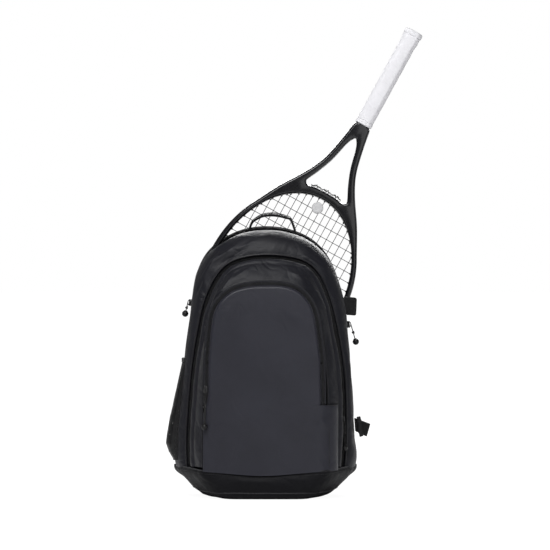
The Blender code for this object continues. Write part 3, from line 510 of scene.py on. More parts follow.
DAMPER = look("damper_rubber", (0.7400, 0.7400, 0.7500), 0.55, tint=0.05, grain=0.4, grain_size=0.0006,
              bump=0.05, mottle=0.01)


# ---- Sewing details -------------------------------------------------------------------------------
def stitches(name, path, material, body, pitch=0.0038, length=0.0024, radius=0.00028):
    """A row of short raised thread stitches along a 3D path that lies on the cloth."""
    path = np.asarray(path, float)
    total = float(np.sum(np.linalg.norm(np.diff(path, axis=0), axis=1)))
    count = max(2, int(total / pitch))
    spots = resample(path, count * 4 + 1)
    parts = []
    for k in range(count):
        middle = spots[4 * k + 2]
        along = spots[min(4 * k + 4, len(spots) - 1)] - spots[4 * k]
        along /= max(1e-9, np.linalg.norm(along))
        line = [middle - along * length / 2, middle - along * length / 4, middle + along * length / 4,
                middle + along * length / 2]
        parts.append(tube_mesh(line, [radius * 0.5, radius, radius, radius * 0.5], sides=5))
    return merged(name, parts, material, body)


def zip_teeth(name, path, normal, material, body, pitch=0.0022, size=(0.0013, 0.0026, 0.0009)):
    """A row of coil ridges along a 3D path; normal is the way the zip faces."""
    path = np.asarray(path, float)
    total = np.sum(np.linalg.norm(np.diff(path, axis=0), axis=1))
    path = resample(path, max(3, int(total / pitch)))
    tangent = np.gradient(path, axis=0)
    tangent /= np.linalg.norm(tangent, axis=1)[:, None]
    normal = np.asarray(normal, float)
    parts = []
    for p, t in zip(path, tangent):
        across = np.cross(t, normal)
        across /= np.linalg.norm(across)
        parts.append(box_parts(p, (t, across, normal), size))
    return merged(name, parts, material, body, smooth=30)


# ---- Cloth shaping --------------------------------------------------------------------------------
def grid_normals(grid, outward):
    """Unit normals of a grid of points, facing the same way as outward at its middle."""
    along = np.gradient(grid, axis=1)
    down = np.gradient(grid, axis=0)
    normal = np.cross(along, down)
    normal /= np.maximum(1e-9, np.linalg.norm(normal, axis=2))[..., None]
    middle = normal[grid.shape[0] // 2, grid.shape[1] // 2]
    return normal if middle @ np.asarray(outward, float) > 0 else -normal


def soft_noise(grid, size, seed):
    """Low smooth noise at each point of a grid."""
    flat = grid.reshape(-1, 3)
    return np.array([ruffle(p, size=size, seed=seed) for p in flat]).reshape(grid.shape[:2])


def crease(grid, start, end, width):
    """How close each grid point is to a crease line in the XZ plane: 1 on it, fading out over its width."""
    a, b = np.array(start, float), np.array(end, float)
    flat = grid[..., [0, 2]]
    run = b - a
    share = np.clip(((flat - a) @ run) / (run @ run), 0, 1)
    away = np.linalg.norm(flat - (a + share[..., None] * run), axis=2)
    fade = np.sin(np.pi * np.clip(share, 0.04, 0.96))
    return np.exp(-(away / width) ** 2) * fade


def folded(grid, outward, creases, noise_depth, noise_size, seed):
    """Pushes a grid along its normals by soft noise and by creases, each a start, an end, a width and a
    depth."""
    normal = grid_normals(grid, outward)
    push = noise_depth * soft_noise(grid, noise_size, seed)
    for start, end, width, depth in creases:
        push = push + depth * crease(grid, start, end, width)
    return grid + normal * push[..., None]


def distance_to(points, outline, wrap=True):
    """Distance of 2D points from an outline's nearest edge."""
    ends = np.roll(outline, -1, axis=0) if wrap else outline[1:]
    starts = outline if wrap else outline[:-1]
    best = np.full(len(points), 1e9)
    for a, b in zip(starts, ends):
        run = b - a
        share = np.clip(((points - a) @ run) / max(1e-12, run @ run), 0, 1)
        best = np.minimum(best, np.linalg.norm(points - (a + share[:, None] * run), axis=1))
    return best


def width_at(outline, z):
    """Left and right edges of a closed outline at a height."""
    hits = []
    for a, b in zip(outline, np.roll(outline, -1, axis=0)):
        if (a[1] - z) * (b[1] - z) <= 0 and abs(a[1] - b[1]) > 1e-9:
            hits.append(a[0] + (b[0] - a[0]) * (z - a[1]) / (b[1] - a[1]))
    return (min(hits), max(hits)) if hits else (0.0, 0.0)


# ---- The bag's cloth ------------------------------------------------------------------------------
HOOD_REAR = arch_of("main_shell", 0.044, 0.046, ARCH_POINTS)
HOOD_FRONT = arch_of("main_shell", -0.0185, -0.0175, ARCH_POINTS)
HOOD_Y = (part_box("main_shell")[1][1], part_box("main_shell")[0][1])
FLAP_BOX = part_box("main_flap")
FLAP_EDGE = arch_of("main_flap", -0.0195, -0.0185, ARCH_POINTS)
POCKET_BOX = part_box("pocket_gusset")
POCKET_EDGE = arch_of("pocket_gusset", -0.0930, -0.0910, ARCH_POINTS)
PANEL_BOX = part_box("front_panel_upper")
SEAM_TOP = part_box("base_panel")[1][2]


def hood():
    """The hood: a soft band from its hem on the divider over to the piped arch, with a rolled edge."""
    rows = [at_depth(inset(HOOD_REAR, 0.0056), HOOD_Y[0] - 0.0004),
            at_depth(inset(HOOD_REAR, 0.0012), HOOD_Y[0])]
    for turn in np.linspace(0, math.pi / 2, 30):
        share = 1 - math.cos(turn)
        y = HOOD_Y[0] + (HOOD_Y[1] - HOOD_Y[0]) * math.sin(turn)
        fullest = 0.0022 * math.sin(math.pi * min(1, share * 1.2 + 0.1))
        puff = fullest * np.sin(np.linspace(0, math.pi, ARCH_POINTS)) ** 0.5
        line = HOOD_REAR + (HOOD_FRONT - HOOD_REAR) * share
        flare = 0.0034 * swell((0.100 - line[:, 1]) / 0.040) * (1 - share)
        dent = 0.0034 * np.exp(-((line[:, 1] - 0.120) / 0.022) ** 2) * (line[:, 0] > 0) * (1 - share)
        rows.append(at_depth(inset(line, dent - puff - flare), y))
    for pull, back in ((0.0010, -0.0006), (0.0024, -0.0006), (0.0034, 0.0004), (0.0036, 0.0020)):
        rows.append(at_depth(inset(HOOD_FRONT, pull), HOOD_Y[1] + back))
    creases = [((-0.104, 0.405), (-0.040, 0.450), 0.0032, 0.0024),
               ((-0.088, 0.404), (-0.030, 0.441), 0.0026, -0.0019),
               ((-0.120, 0.372), (-0.080, 0.430), 0.0030, 0.0022),
               ((-0.098, 0.428), (-0.055, 0.456), 0.0022, 0.0016),
               ((-0.128, 0.345), (-0.108, 0.392), 0.0028, -0.0018),
               ((-0.060, 0.432), (-0.010, 0.452), 0.0026, 0.0015),
               ((0.060, 0.428), (0.112, 0.396), 0.0030, 0.0014),
               ((0.096, 0.388), (0.128, 0.330), 0.0030, 0.0014),
               ((-0.146, 0.250), (-0.138, 0.322), 0.0030, 0.0016),
               ((0.148, 0.180), (0.140, 0.270), 0.0034, 0.0014),
               ((0.151, 0.090), (0.148, 0.170), 0.0030, 0.0014),
               ((-0.152, 0.075), (-0.149, 0.150), 0.0030, 0.0014)]
    grid = folded(np.array(rows), (0, -0.5, 1),
                  [(start, end, width, depth * 1.5) for start, end, width, depth in creases],
                  noise_depth=0.0014, noise_size=0.040, seed=1)
    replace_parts(cloth("hood_cloth", grid, COATED, "pack"), "main_shell")
    stitches("hood_topstitch", at_depth(inset(HOOD_FRONT, -0.0052), HOOD_Y[1] + 0.0045), STITCH, "pack")
    path = inset(HOOD_FRONT, 0.0012)
    wobble = np.array([0.0002 * ruffle((p[0], 0, p[1]), size=0.02, seed=3) for p in path])
    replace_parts(tube("hood_piping_cord", at_depth(path, HOOD_Y[1] - 0.0020 + wobble), radius=0.0017,
                     material=PIPING, body="pack", sides=12), "hood_piping")


def polar_ring(points, centre, count):
    """A plan outline as points at equal turns about a centre."""
    ring = even_ring(hull(points), 1499)
    turn = np.arctan2(ring[:, 1] - centre[1], ring[:, 0] - centre[0])
    order = np.argsort(turn)
    turn, ring = turn[order], ring[order]
    reach = np.linalg.norm(ring - centre, axis=1)
    ask = np.linspace(-math.pi, math.pi, count, endpoint=False)
    r = np.interp(ask, np.r_[turn - math.tau, turn, turn + math.tau], np.r_[reach, reach, reach])
    return np.column_stack([centre[0] + r * np.cos(ask), centre[1] + r * np.sin(ask)])


def base():
    """The boat-shaped base: it meets the body at a piped seam that dips at the front, and tucks in below."""
    pts = points_of("base_panel")
    levels = sorted({round(z, 4) for z in pts[:, 2]})
    centre = np.array([0.0, 0.012])
    count = 260
    rings = np.array([polar_ring(pts[abs(pts[:, 2] - z) < 0.0003][:, :2], centre, count) for z in levels])
    above = ("main_shell", "main_flap", "front_panel_lower", "pocket_gusset")
    body = np.vstack([points_of(node) for node in above])
    body = polar_ring(body[body[:, 2] < SEAM_TOP + 0.012][:, :2], centre, count)
    behind = rings[-1][:, 1] > HOOD_Y[0] - 0.004
    body[behind] = rings[-1][behind]
    body = eased(body, 6, wrap=True)
    top = levels[-1] + 0.0015
    rows = []
    for z in np.r_[np.linspace(0, 0.012, 6), np.linspace(0.016, top, 14)]:
        ring = np.column_stack([[np.interp(z, levels, rings[:, k, c]) for k in range(count)]
                                for c in (0, 1)])
        share = swell((z - 0.030) / (top - 0.031))
        ring = ring + (body - ring) * share
        ring = centre + (ring - centre) * (1 + 0.004 * math.sin(math.pi * min(1, z / top)))
        front = swell((-ring[:, 1] - 0.020) / 0.070) * np.exp(-(ring[:, 0] / 0.090) ** 2)
        rows.append(np.column_stack([ring, z - 0.0095 * front * (z / top) ** 2]))
    creases = [((-0.060, 0.036), (0.010, 0.030), 0.0035, 0.0016),
               ((0.020, 0.040), (0.080, 0.034), 0.0035, 0.0016),
               ((-0.120, 0.048), (-0.080, 0.026), 0.0030, 0.0016),
               ((0.085, 0.030), (0.126, 0.046), 0.0030, -0.0014)]
    grid = folded(np.array(rows), FRONT, creases, noise_depth=0.0009, noise_size=0.035, seed=2)
    grid[:, :, 2] = np.maximum(grid[:, :, 2], 0.0009)
    floor = np.array([np.column_stack([centre + (grid[0, :, :2] - centre) * s, np.full(count, 0.0008)])
                      for s in (0.02, 0.5, 0.9)])
    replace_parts(cloth("base_cloth", np.vstack([floor, grid]), BASE, "pack", wrap=True),
                "base_panel")
    foot = grid[5] + np.column_stack([(grid[5, :, :2] - centre) * 0.005, np.full(count, 0.0002)])
    tube("base_foot_seam", foot, radius=0.0011, material=PIPING, body="pack", wrap=True)
    front = grid[:, grid[-1][:, 1] < HOOD_Y[0]]
    order = np.argsort(np.arctan2(front[-1][:, 0] - centre[0], -(front[-1][:, 1] - centre[1])))
    edge = front[-1][order]
    tube("base_top_seam", edge + (0, 0, 0.0004), radius=0.0013, material=PIPING, body="pack")
    below = front[-3][order]
    stitches("base_topstitch", below + (below - np.array([0, 0.012, 0])) * (0.006, 0.006, 0), STITCH, "pack")


def flap():
    """The main flap: soft side walls, a pillow that rises to the pocket's rim, and the pocket's inner
    wall."""
    rear = FLAP_BOX[1][1]
    rim = POCKET_BOX[0][1]
    edge, pocket = FLAP_EDGE, POCKET_EDGE
    edge = np.column_stack([edge[:, 0], np.maximum(edge[:, 1], SEAM_TOP - 0.004)])
    rows = [at_depth(inset(edge, 0.0030), rear + 0.0012), at_depth(inset(edge, 0.0008), rear + 0.0010)]
    for y in np.linspace(rear, rear - 0.030, 9):
        bow = -0.0034 * swell((rear - 0.010 - y) / 0.018)
        rows.append(at_depth(inset(edge, bow), y))
    shoulder = inset(edge, 0.0040)
    for turn in np.linspace(0.2, 1.0, 6):
        rows.append(at_depth(inset(edge, 0.0088 * (1 - math.cos(turn * 1.4)) - 0.0034),
                             rear - 0.030 - 0.0120 * math.sin(turn * 1.4)))
    start_y = rear - 0.030 - 0.0120 * math.sin(1.4)
    for share in np.linspace(0.08, 1.0, 16):
        line = shoulder + (pocket - shoulder) * share
        y = start_y + (rim + 0.0045 - start_y) * (share ** 0.80)
        puff = 0.0022 * math.sin(math.pi * share)
        rows.append(at_depth(line, y - puff))
    rows.append(at_depth(pocket, rim + 0.0010))
    rows.append(at_depth(inset(pocket, 0.0005), rim))
    for back in (0.004, 0.012, 0.024):
        rows.append(at_depth(inset(pocket, 0.0018 + back * 0.02), rim + back))
    creases = [((-0.098, 0.300), (-0.080, 0.372), 0.0030, 0.0026),
               ((-0.112, 0.262), (-0.100, 0.332), 0.0030, -0.0022),
               ((-0.088, 0.345), (-0.052, 0.396), 0.0026, 0.0026),
               ((-0.104, 0.330), (-0.078, 0.392), 0.0026, -0.0022),
               ((-0.062, 0.380), (-0.020, 0.404), 0.0026, 0.0020),
               ((0.030, 0.400), (0.078, 0.378), 0.0028, 0.0018),
               ((0.080, 0.372), (0.106, 0.322), 0.0030, 0.0020),
               ((0.106, 0.300), (0.118, 0.220), 0.0034, 0.0020),
               ((0.110, 0.180), (0.126, 0.172), 0.0024, 0.0012),
               ((0.114, 0.120), (0.122, 0.070), 0.0034, 0.0014),
               ((-0.122, 0.140), (-0.120, 0.070), 0.0032, 0.0012)]
    grid = np.array(rows)
    creases = [(start, end, width, depth * 1.4) for start, end, width, depth in creases]
    grid[2:-5] = folded(grid, FRONT, creases, noise_depth=0.0016, noise_size=0.038, seed=3)[2:-5]
    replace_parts(cloth("flap_cloth", grid, COATED, "main_flap"), "main_flap",
                "pocket_gusset")
    inner = inset(pocket, 0.0040)
    spread = np.linspace(0, 1, 14)[:, None]
    pairs = zip(inner[:len(inner) // 2], inner[::-1])
    lining = [at_depth(left + (right - left) * spread, rim + 0.0255) for left, right in pairs]
    cloth("flap_lining", lining, NYLON, "main_flap")
    seam = at_depth(inset(pocket, -0.0004), rim - 0.0002)
    tube("pocket_rim_cord", seam, radius=0.0010, material=PIPING, body="main_flap")


def main_zip():
    """The recessed zip between the hood and the flap: two tapes and the closed coil."""
    outer = arch_of("main_zip_outer", -0.0170, -0.0145, ARCH_POINTS)
    low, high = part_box("main_zip_outer")[0][1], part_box("main_zip_outer")[1][1]
    y = (low + high) / 2
    opened = outer[:, 1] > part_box("main_zip_inner")[0][2]
    wide, narrow = (np.array([at_depth(inset(outer, d), y) for d in np.linspace(*reach, 4)])
                    for reach in ((0.0, 0.0045), (0.0048, 0.0094)))
    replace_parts(cloth("main_zip_tape_outer", wide, TAPE, "pack", thickness=TAPE_CLOTH),
                "main_zip_outer")
    zip_teeth("main_zip_coil_outer", wide[2], FRONT, COIL, "pack")
    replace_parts(cloth("main_zip_tape_inner", narrow[:, opened], TAPE, "main_flap",
                      thickness=TAPE_CLOTH), "main_zip_inner")
    zip_teeth("main_zip_coil_inner", narrow[1][opened], FRONT, COIL, "main_flap")
    for side, label in SIDES:
        below = ~opened & (outer[:, 0] * side > 0)
        cloth("main_zip_tape_low_" + label, narrow[:, below], TAPE, "pack", thickness=TAPE_CLOTH)


def pocket_zip():
    """The front pocket's zip, with tapes either side of the coil; its right end stops at a cross seam."""
    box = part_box("pocket_zip_outer")
    outer = arch_of("pocket_zip_outer", box[0][1] - 0.001, box[1][1] + 0.001, 161)
    y = (box[0][1] + box[1][1]) / 2
    opened = outer[:, 1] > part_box("pocket_zip_inner")[0][2]
    coil = at_depth(inset(outer, 0.0058), y - 0.0006)
    bands = np.array([at_depth(inset(outer, d), y) for d in np.linspace(0.0002, 0.0046, 4)])
    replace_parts(cloth("pocket_zip_tape_outer", bands, COATED, "main_flap", thickness=TAPE_CLOTH),
                "pocket_zip_outer")
    inner = np.array([at_depth(inset(outer, d), y) for d in np.linspace(0.0050, 0.0094, 4)])
    zip_teeth("pocket_zip_coil", at_depth(inset(outer, 0.0036), y - 0.0006), FRONT, COIL, "main_flap")
    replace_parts(cloth("pocket_zip_tape_inner", inner[:, opened], COATED, "pocket_flap",
                      thickness=TAPE_CLOTH), "pocket_zip_inner")
    zip_teeth("pocket_zip_coil_inner", coil[opened], FRONT, COIL, "pocket_flap")
    for side, label in SIDES:
        below = ~opened & (outer[:, 0] * side > 0)
        cloth("pocket_zip_tape_low_" + label, inner[:, below], COATED, "main_flap",
              thickness=TAPE_CLOTH)
        zip_teeth("pocket_zip_coil_low_" + label, coil[below], FRONT, COIL, "main_flap")


def front_panel():
    """The smooth crowned front panel, one cloth that bends where the pocket folds down.

    Below the zip's right end it runs on past the pocket's edge to the side of the flap, with a short
    cross seam.
    """
    low_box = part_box("front_panel_lower")
    upper = ring_of("front_panel_upper", 300)
    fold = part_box("front_panel_upper")[0][2]
    back, front = PANEL_BOX[1][1], PANEL_BOX[0][1]
    foot = low_box[0][2] - 0.006
    shoulder = float(np.interp(fold / 2, FLAP_EDGE[::-1][:60, 1], FLAP_EDGE[::-1][:60, 0])) - 0.0040
    left, right = low_box[0][0], shoulder
    heights = np.r_[np.linspace(foot, fold - 0.0010, 36), fold,
                    fold + (upper[:, 1].max() - 0.0006 - fold) * np.sin(np.linspace(0.010, math.pi / 2, 76))]
    count = 110
    along = np.sin(np.linspace(-math.pi / 2, math.pi / 2, count))
    rows = [(left, right, z) if z < fold - 0.0005 else (*width_at(upper, max(z, fold + 0.004)), z)
            for z in heights]
    near = width_at(upper, fold + 0.020)[0]
    blended = [near + (left + 0.0012 - near) * swell((fold + 0.020 - z) / 0.040) for z in heights]
    rows = [(joined if z < fold + 0.020 else a, b, z) for joined, (a, b, z) in zip(blended, rows)]
    top_edge = np.array([(a, z) for a, b, z in rows if z >= fold]
                        + [(b, z) for a, b, z in reversed(rows) if z >= fold])
    grid = []
    for a, b, z in rows:
        x = (a + b) / 2 + (b - a) / 2 * along
        line = np.column_stack([x, np.full(count, z)])
        if z < fold - 0.0005:
            away = np.minimum(x - a, 0.2)
            lip = 0.80 + 0.20 * np.sqrt(np.clip(1 - (1 - np.clip(away / 0.0060, 0, 1)) ** 2, 0, 1))
            turn = np.clip((x - (right - 0.036)) / 0.036, 0, 1)
            fall = (1 - np.sqrt(1 - turn ** 2 * 0.999)) * 0.036
        else:
            away = distance_to(line, top_edge, wrap=False)
            lip = np.sqrt(np.clip(1 - (1 - np.clip(away / 0.0042, 0, 1)) ** 2, 0, 1))
            fall = 0.0
        inside = np.minimum(x - left, low_box[1][0] - x).clip(0)
        crown = 0.0042 * (1 - np.exp(-np.minimum(inside, max(0.0, upper[:, 1].max() - z)) / 0.045))
        dip = -0.0085 * np.exp(-((x + 0.006) / 0.080) ** 2) * swell((foot + 0.022 - z) / 0.022)
        grid.append(np.column_stack([x, back + (front - back) * lip - crown + fall, line[:, 1] + dip]))
    grid = np.array(grid)
    creases = [((-0.060, 0.120), (0.020, 0.108), 0.012, 0.0007),
               ((-0.090, 0.300), (-0.050, 0.345), 0.006, 0.0008),
               ((0.030, 0.330), (0.075, 0.300), 0.007, 0.0007),
               ((-0.096, 0.100), (-0.092, 0.200), 0.005, 0.0006),
               ((0.085, 0.150), (0.112, 0.120), 0.006, 0.0010),
               ((0.080, 0.085), (0.116, 0.062), 0.006, -0.0010)]
    grid = folded(grid, FRONT, creases, noise_depth=0.0010, noise_size=0.075, seed=4)
    item = cloth("front_cloth", grid, PANEL, None, thickness=0.0010)
    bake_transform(item)
    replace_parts(item, "front_panel_upper", "front_panel_lower")
    row = grid[35]
    cross = row[row[:, 0] > low_box[1][0] - 0.0050]
    tube("pocket_end_seam", cross + (0, -0.0004, 0.0004), radius=0.0009, material=PIPING, body="main_flap")
    stitches("pocket_end_stitch", cross + (0, -0.0008, -0.0040), STITCH, "main_flap")
    seam = grid[:34, 1] + (0.0030, -0.0008, 0)
    stitches("front_seam_stitch", seam, STITCH, "main_flap")


# ---- Rear gussets, mouth tapes and back panel -----------------------------------------------------
def gussets():
    """The closed lower stretches of the sleeve's gusset and their coils, and the tapes round its mouth."""
    for side, label in SIDES:
        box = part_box("rear_gusset_" + label)
        heights = np.linspace(box[0][2], box[1][2], 60)
        x_at = [np.interp(z, *edge_of(side)) for z in heights]
        rows = []
        for y in np.linspace(box[0][1], box[1][1], 12):
            share = (y - box[0][1]) / (box[1][1] - box[0][1])
            valley = -0.0012 * math.exp(-((share - 0.5) / 0.14) ** 2)
            row = [(x - side * (0.0014 - valley * 0.8), y, z) for x, z in zip(x_at, heights)]
            rows.append(row)
        grid = folded(np.array(rows), (side, 0, 0), [], noise_depth=0.0006, noise_size=0.03, seed=5)
        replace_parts(cloth("gusset_cloth_" + label, grid, NYLON, "pack"),
                    "rear_gusset_" + label)
        zip_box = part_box("rear_zip_" + label)
        middle = (zip_box[0][1] + zip_box[1][1]) / 2
        path = [(np.interp(z, *edge_of(side)) - side * 0.0002, middle, z) for z in heights[:-1]]
        tape = [[(x, y + shift, z) for x, y, z in path] for shift in (-0.0062, -0.0020, 0.0020, 0.0062)]
        cloth("rear_zip_tape_" + label, tape, TAPE, "pack", thickness=0.0007)
        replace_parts(zip_teeth("rear_zip_coil_" + label, np.array(path) + (side * 0.0008, 0, 0), (side, 0, 0),
                              COIL, "pack", size=(0.0013, 0.0044, 0.0010)), "rear_zip_" + label)
    for node, name in (("mouth_tape_front", "mouth_tape_front_cloth"),
                       ("mouth_tape_back", "mouth_tape_back_cloth")):
        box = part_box(node)
        pts = points_of(node)
        ring = hull(pts[:, [0, 2]])
        start = min(range(len(ring)), key=lambda i: ring[i][1] + (0.5 if ring[i][0] > 0 else 0))
        end = min(range(len(ring)), key=lambda i: ring[i][1] + (0.5 if ring[i][0] < 0 else 0))
        path = eased(resample(walk(ring, start, end), 150), 8)
        rows = []
        for k, y in enumerate(np.linspace(box[0][1], box[1][1], 6)):
            rows.append(at_depth(inset(path, 0.0006 + 0.0003 * math.sin(k)), y))
        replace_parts(cloth(name, rows, TAPE, "pack", thickness=0.0009), node)
        y = box[1][1] if node == "mouth_tape_front" else box[0][1]
        zip_teeth(name + "_coil", at_depth(inset(path, 0.0006), y), REAR, COIL, "pack",
                  size=(0.0013, 0.0016, 0.0014))


def edge_of(side):
    """Heights and side positions of the back panel's edge, for interpolation by height."""
    edge = SIDE_RING[SIDE_RING[:, 0] * side > 0]
    edge = edge[np.argsort(edge[:, 1])]
    return edge[:, 1], edge[:, 0]


def cushion(name, outline, y_front, y_rear, material, body, edge, crown, steps=20, seed=0,
            ripple=0.0005, crown_front=0.0):
    """A soft panel in the XZ plane, rounded over at its edge and crowned on its rear face."""
    middle = outline.mean(axis=0)
    half = (y_rear - y_front) / 2
    mid_y = (y_rear + y_front) / 2
    shares = np.r_[1 - 0.5 * np.array([0, 0.012, 0.03, 0.055, 0.085, 0.13]), np.linspace(0.90, 0.02, steps)]
    rear, front = [], []
    for share in shares:
        ring = middle + (outline - middle) * share
        away = distance_to(ring, outline)
        lift = np.sqrt(np.clip(1 - (1 - np.clip(away / edge, 0, 1)) ** 2, 0, 1))
        rise = crown * (1 - np.exp(-away / 0.040))
        rear.append(np.column_stack([ring[:, 0], mid_y + half * lift + rise, ring[:, 1]]))
        sink = crown_front * (1 - np.exp(-away / 0.040))
        front.append(np.column_stack([ring[:, 0], mid_y - half * lift - sink, ring[:, 1]]))
    rear = folded(np.array(rear), REAR, [], noise_depth=ripple, noise_size=0.05, seed=seed)
    rows = np.vstack([np.array(front)[::-1], rear[1:]])
    verts = rows.reshape(-1, 3)
    count = rows.shape[1]
    return piece(name, verts, capped(len(rows), count), material, body)


def back_panel():
    """The back panel: textured nylon over thin foam, edged with binding and topstitching."""
    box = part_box("back_panel")
    outline = even_ring(SIDE_RING, 300)
    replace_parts(cushion("back_cloth", outline, box[0][1], box[1][1], NYLON, "pack",
                        edge=0.0045, crown=0.0004, seed=6), "back_panel")
    path = at_depth(outline, box[1][1] - 0.0014)
    tube("back_binding", path, radius=0.0017, material=PIPING, body="pack", sides=10,
         wrap=True)
    edge = inset(outline, 0.0085, wrap=True)
    stitches("back_topstitch", at_depth(closed(edge), box[1][1] + 0.0004), STITCH, "pack")


def inflated(name, node, material, body, cell=0.0045, pressure=4.0, cap=0.0030):
    """A padded piece: the CAD shape remeshed, puffed by a short cloth simulation, and smoothed."""
    source = NODES[node]
    mesh = source.data.copy()
    item = bpy.data.objects.new(name, mesh)
    SCENE.collection.objects.link(item)
    item.matrix_world = source.matrix_world.copy()
    mesh.materials.clear()
    mesh.materials.append(material)
    weld = item.modifiers.new("weld", "WELD")
    weld.merge_threshold = 0.00005
    remesh = item.modifiers.new("remesh", "REMESH")
    remesh.mode = "VOXEL"
    remesh.voxel_size = cell
    apply_modifiers(item)
    rest = np.array([v.co for v in item.data.vertices])
    settings = item.modifiers.new("cloth", "CLOTH").settings
    settings.quality = 5
    settings.mass = 0.2
    settings.use_pressure = True
    settings.uniform_pressure_force = pressure
    settings.effector_weights.gravity = 0
    settings.tension_stiffness = settings.compression_stiffness = 12
    settings.bending_stiffness = 0.6
    for shot in range(1, 21):
        SCENE.frame_set(shot)
    apply_modifiers(item)
    SCENE.frame_set(1)
    moved = np.array([v.co for v in item.data.vertices])
    if len(moved) == len(rest) and np.all(np.isfinite(moved)):
        step = moved - rest
        far = np.linalg.norm(step, axis=1)
        step *= np.minimum(1, cap / np.maximum(far, 1e-9))[:, None]
        for v, p in zip(item.data.vertices, rest + step):
            v.co = p
    smooth = item.modifiers.new("smooth", "SMOOTH")
    smooth.iterations = 3
    smooth.factor = 0.5
    item.modifiers.new("finer", "SUBSURF").levels = 1
    apply_modifiers(item)
    world = item.matrix_world.copy()
    item.data.transform(world)
    item.matrix_world = Matrix()
    item.data.shade_smooth()
    dress(item, material, body)
    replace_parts(item, node)
    return item


def ring_of(node, count, passes=4):
    """A node's outline in the XZ plane, clockwise, as an even ring of points with eased corners."""
    ring = hull(points_of(node)[:, [0, 2]])
    return eased(even_ring(ring, count), passes, wrap=True)


def quilt(item, outline, y, depth, width):
    """Presses a stitched channel into a padded piece along an outline that lies parallel to its face."""
    for v in item.data.vertices:
        if v.co.y < y:
            continue
        away = float(distance_to(np.array([[v.co.x, v.co.z]]), outline)[0])
        v.co.y -= depth * math.exp(-(away / width) ** 2)


def pads():
    """The padded columns and the lumbar pad, covered in air mesh and quilted along an inner line."""
    for node in ("back_pad_left", "back_pad_right", "lumbar_pad"):
        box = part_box(node)
        item = inflated(node + "_mesh", node, AIRMESH, "pack", cap=0.0026)
        ring = ring_of(node, 90)
        inner = inset(ring, 0.0140, wrap=True)
        quilt(item, inner, (box[0][1] + box[1][1]) / 2, depth=0.0026, width=0.0022)
        path = at_depth(closed(inner), box[1][1] - 0.0004)
        stitches(node + "_quilting", path, STITCH, "pack")
        edge = at_depth(ring, box[0][1] + 0.0012)
        tube(node + "_edge", edge, radius=0.0014, material=PIPING, body="pack",
             wrap=True)


SIDE_RING = ring_of("back_panel", 120)


# ---- Shoulder straps, webbing and handle ----------------------------------------------------------
def strap_line(node, count):
    """Middle line of an upright strap, read from its CAD outline by height."""
    pts = points_of(node)
    low, high = pts[:, 2].min(), pts[:, 2].max()
    heights = np.linspace(low + 0.006, high - 0.006, count)
    middle = []
    for z in heights:
        near = pts[abs(pts[:, 2] - z) < 0.016]
        middle.append(((near[:, 0].min() + near[:, 0].max()) / 2, z))
    return np.array(middle)


def shoulder_straps():
    """Padded shoulder straps in air mesh, with a webbing run, bar tacks, buckles and the lower webbing."""
    for label in ("left", "right"):
        body = "shoulder_strap_" + label
        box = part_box(body)
        inflated("strap_pad_" + label, body, AIRMESH, body, cap=0.0022)
        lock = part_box("ladder_lock_" + label)
        x_mid = (lock[0][0] + lock[1][0]) / 2
        z_mid = (lock[0][2] + lock[1][2]) / 2
        y = box[1][1]
        middle = strap_line(body, 26)
        run = smooth_path(middle[:16], 40)
        line = at_depth(run, y + 0.0012)
        ribbon("strap_webbing_" + label, line, (1, 0, 0), width=0.0200, thickness=0.0014, material=WEBBING,
               body=body)
        for k, z in enumerate((run[8][1], run[20][1], run[34][1])):
            x = float(np.interp(z, run[:, 1], run[:, 0]))
            bar = [(x + (t - 0.5) * 0.017, y + 0.0021, z) for t in np.linspace(0, 1, 9)]
            stitches("strap_bartack_%s_%d" % (label, k), bar, STITCH, body, pitch=0.0011, length=0.0009)
        loop = [(x_mid, y - deep, z_mid + up) for deep,
                up in ((0.0020, 0.0350), (0.0012, 0.0180), (0.0024, 0.0075), (0.0052, 0.0070),
                       (0.0075, 0.0150), (0.0070, 0.0340))]
        ribbon("lock_loop_" + label, smooth_path(loop, 30), (1, 0, 0), width=0.0250, thickness=0.0014,
               material=WEBBING, body=body)
        buckle(label, lock, body)
        lower_web(label)
        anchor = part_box("strap_anchor_" + label)
        ring = ring_of("strap_anchor_" + label, 60)
        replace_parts(cushion("anchor_cloth_" + label, ring, anchor[0][1], anchor[1][1], NYLON, "pack",
                            edge=0.0010, crown=0.0004, steps=8), "strap_anchor_" + label)
        inner = inset(ring, 0.0028, wrap=True)
        stitches("anchor_stitch_" + label, at_depth(closed(inner), anchor[1][1] + 0.0004), STITCH, "pack")


def buckle(label, box, body):
    """A ladder lock: a rounded plastic frame with two slots and a ribbed thumb lip."""
    (x0, y0, z0), (x1, y1, z1) = box
    x, y, z = (x0 + x1) / 2, (y0 + y1) / 2, (z0 + z1) / 2
    bars = [((x0 + 0.0017, z), (0.0034, z1 - z0)), ((x1 - 0.0017, z), (0.0034, z1 - z0)),
            ((x, z1 - 0.0018), (x1 - x0, 0.0036)), ((x, z), (x1 - x0, 0.0075)),
            ((x, z0 + 0.0018), (x1 - x0, 0.0036))]
    parts = [box_parts((px, y, pz), np.eye(3), (sx, y1 - y0, sz)) for (px, pz), (sx, sz) in bars]
    parts += [box_parts((x, y1 + 0.0002, z - 0.0024 + 0.0016 * k), np.eye(3), (0.020, 0.0010, 0.0007))
              for k in range(4)]
    item = merged("buckle_" + label, parts, PLASTIC, None, smooth=35)
    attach(bevelled(item, width=0.0005), body)
    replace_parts(item, "ladder_lock_" + label)


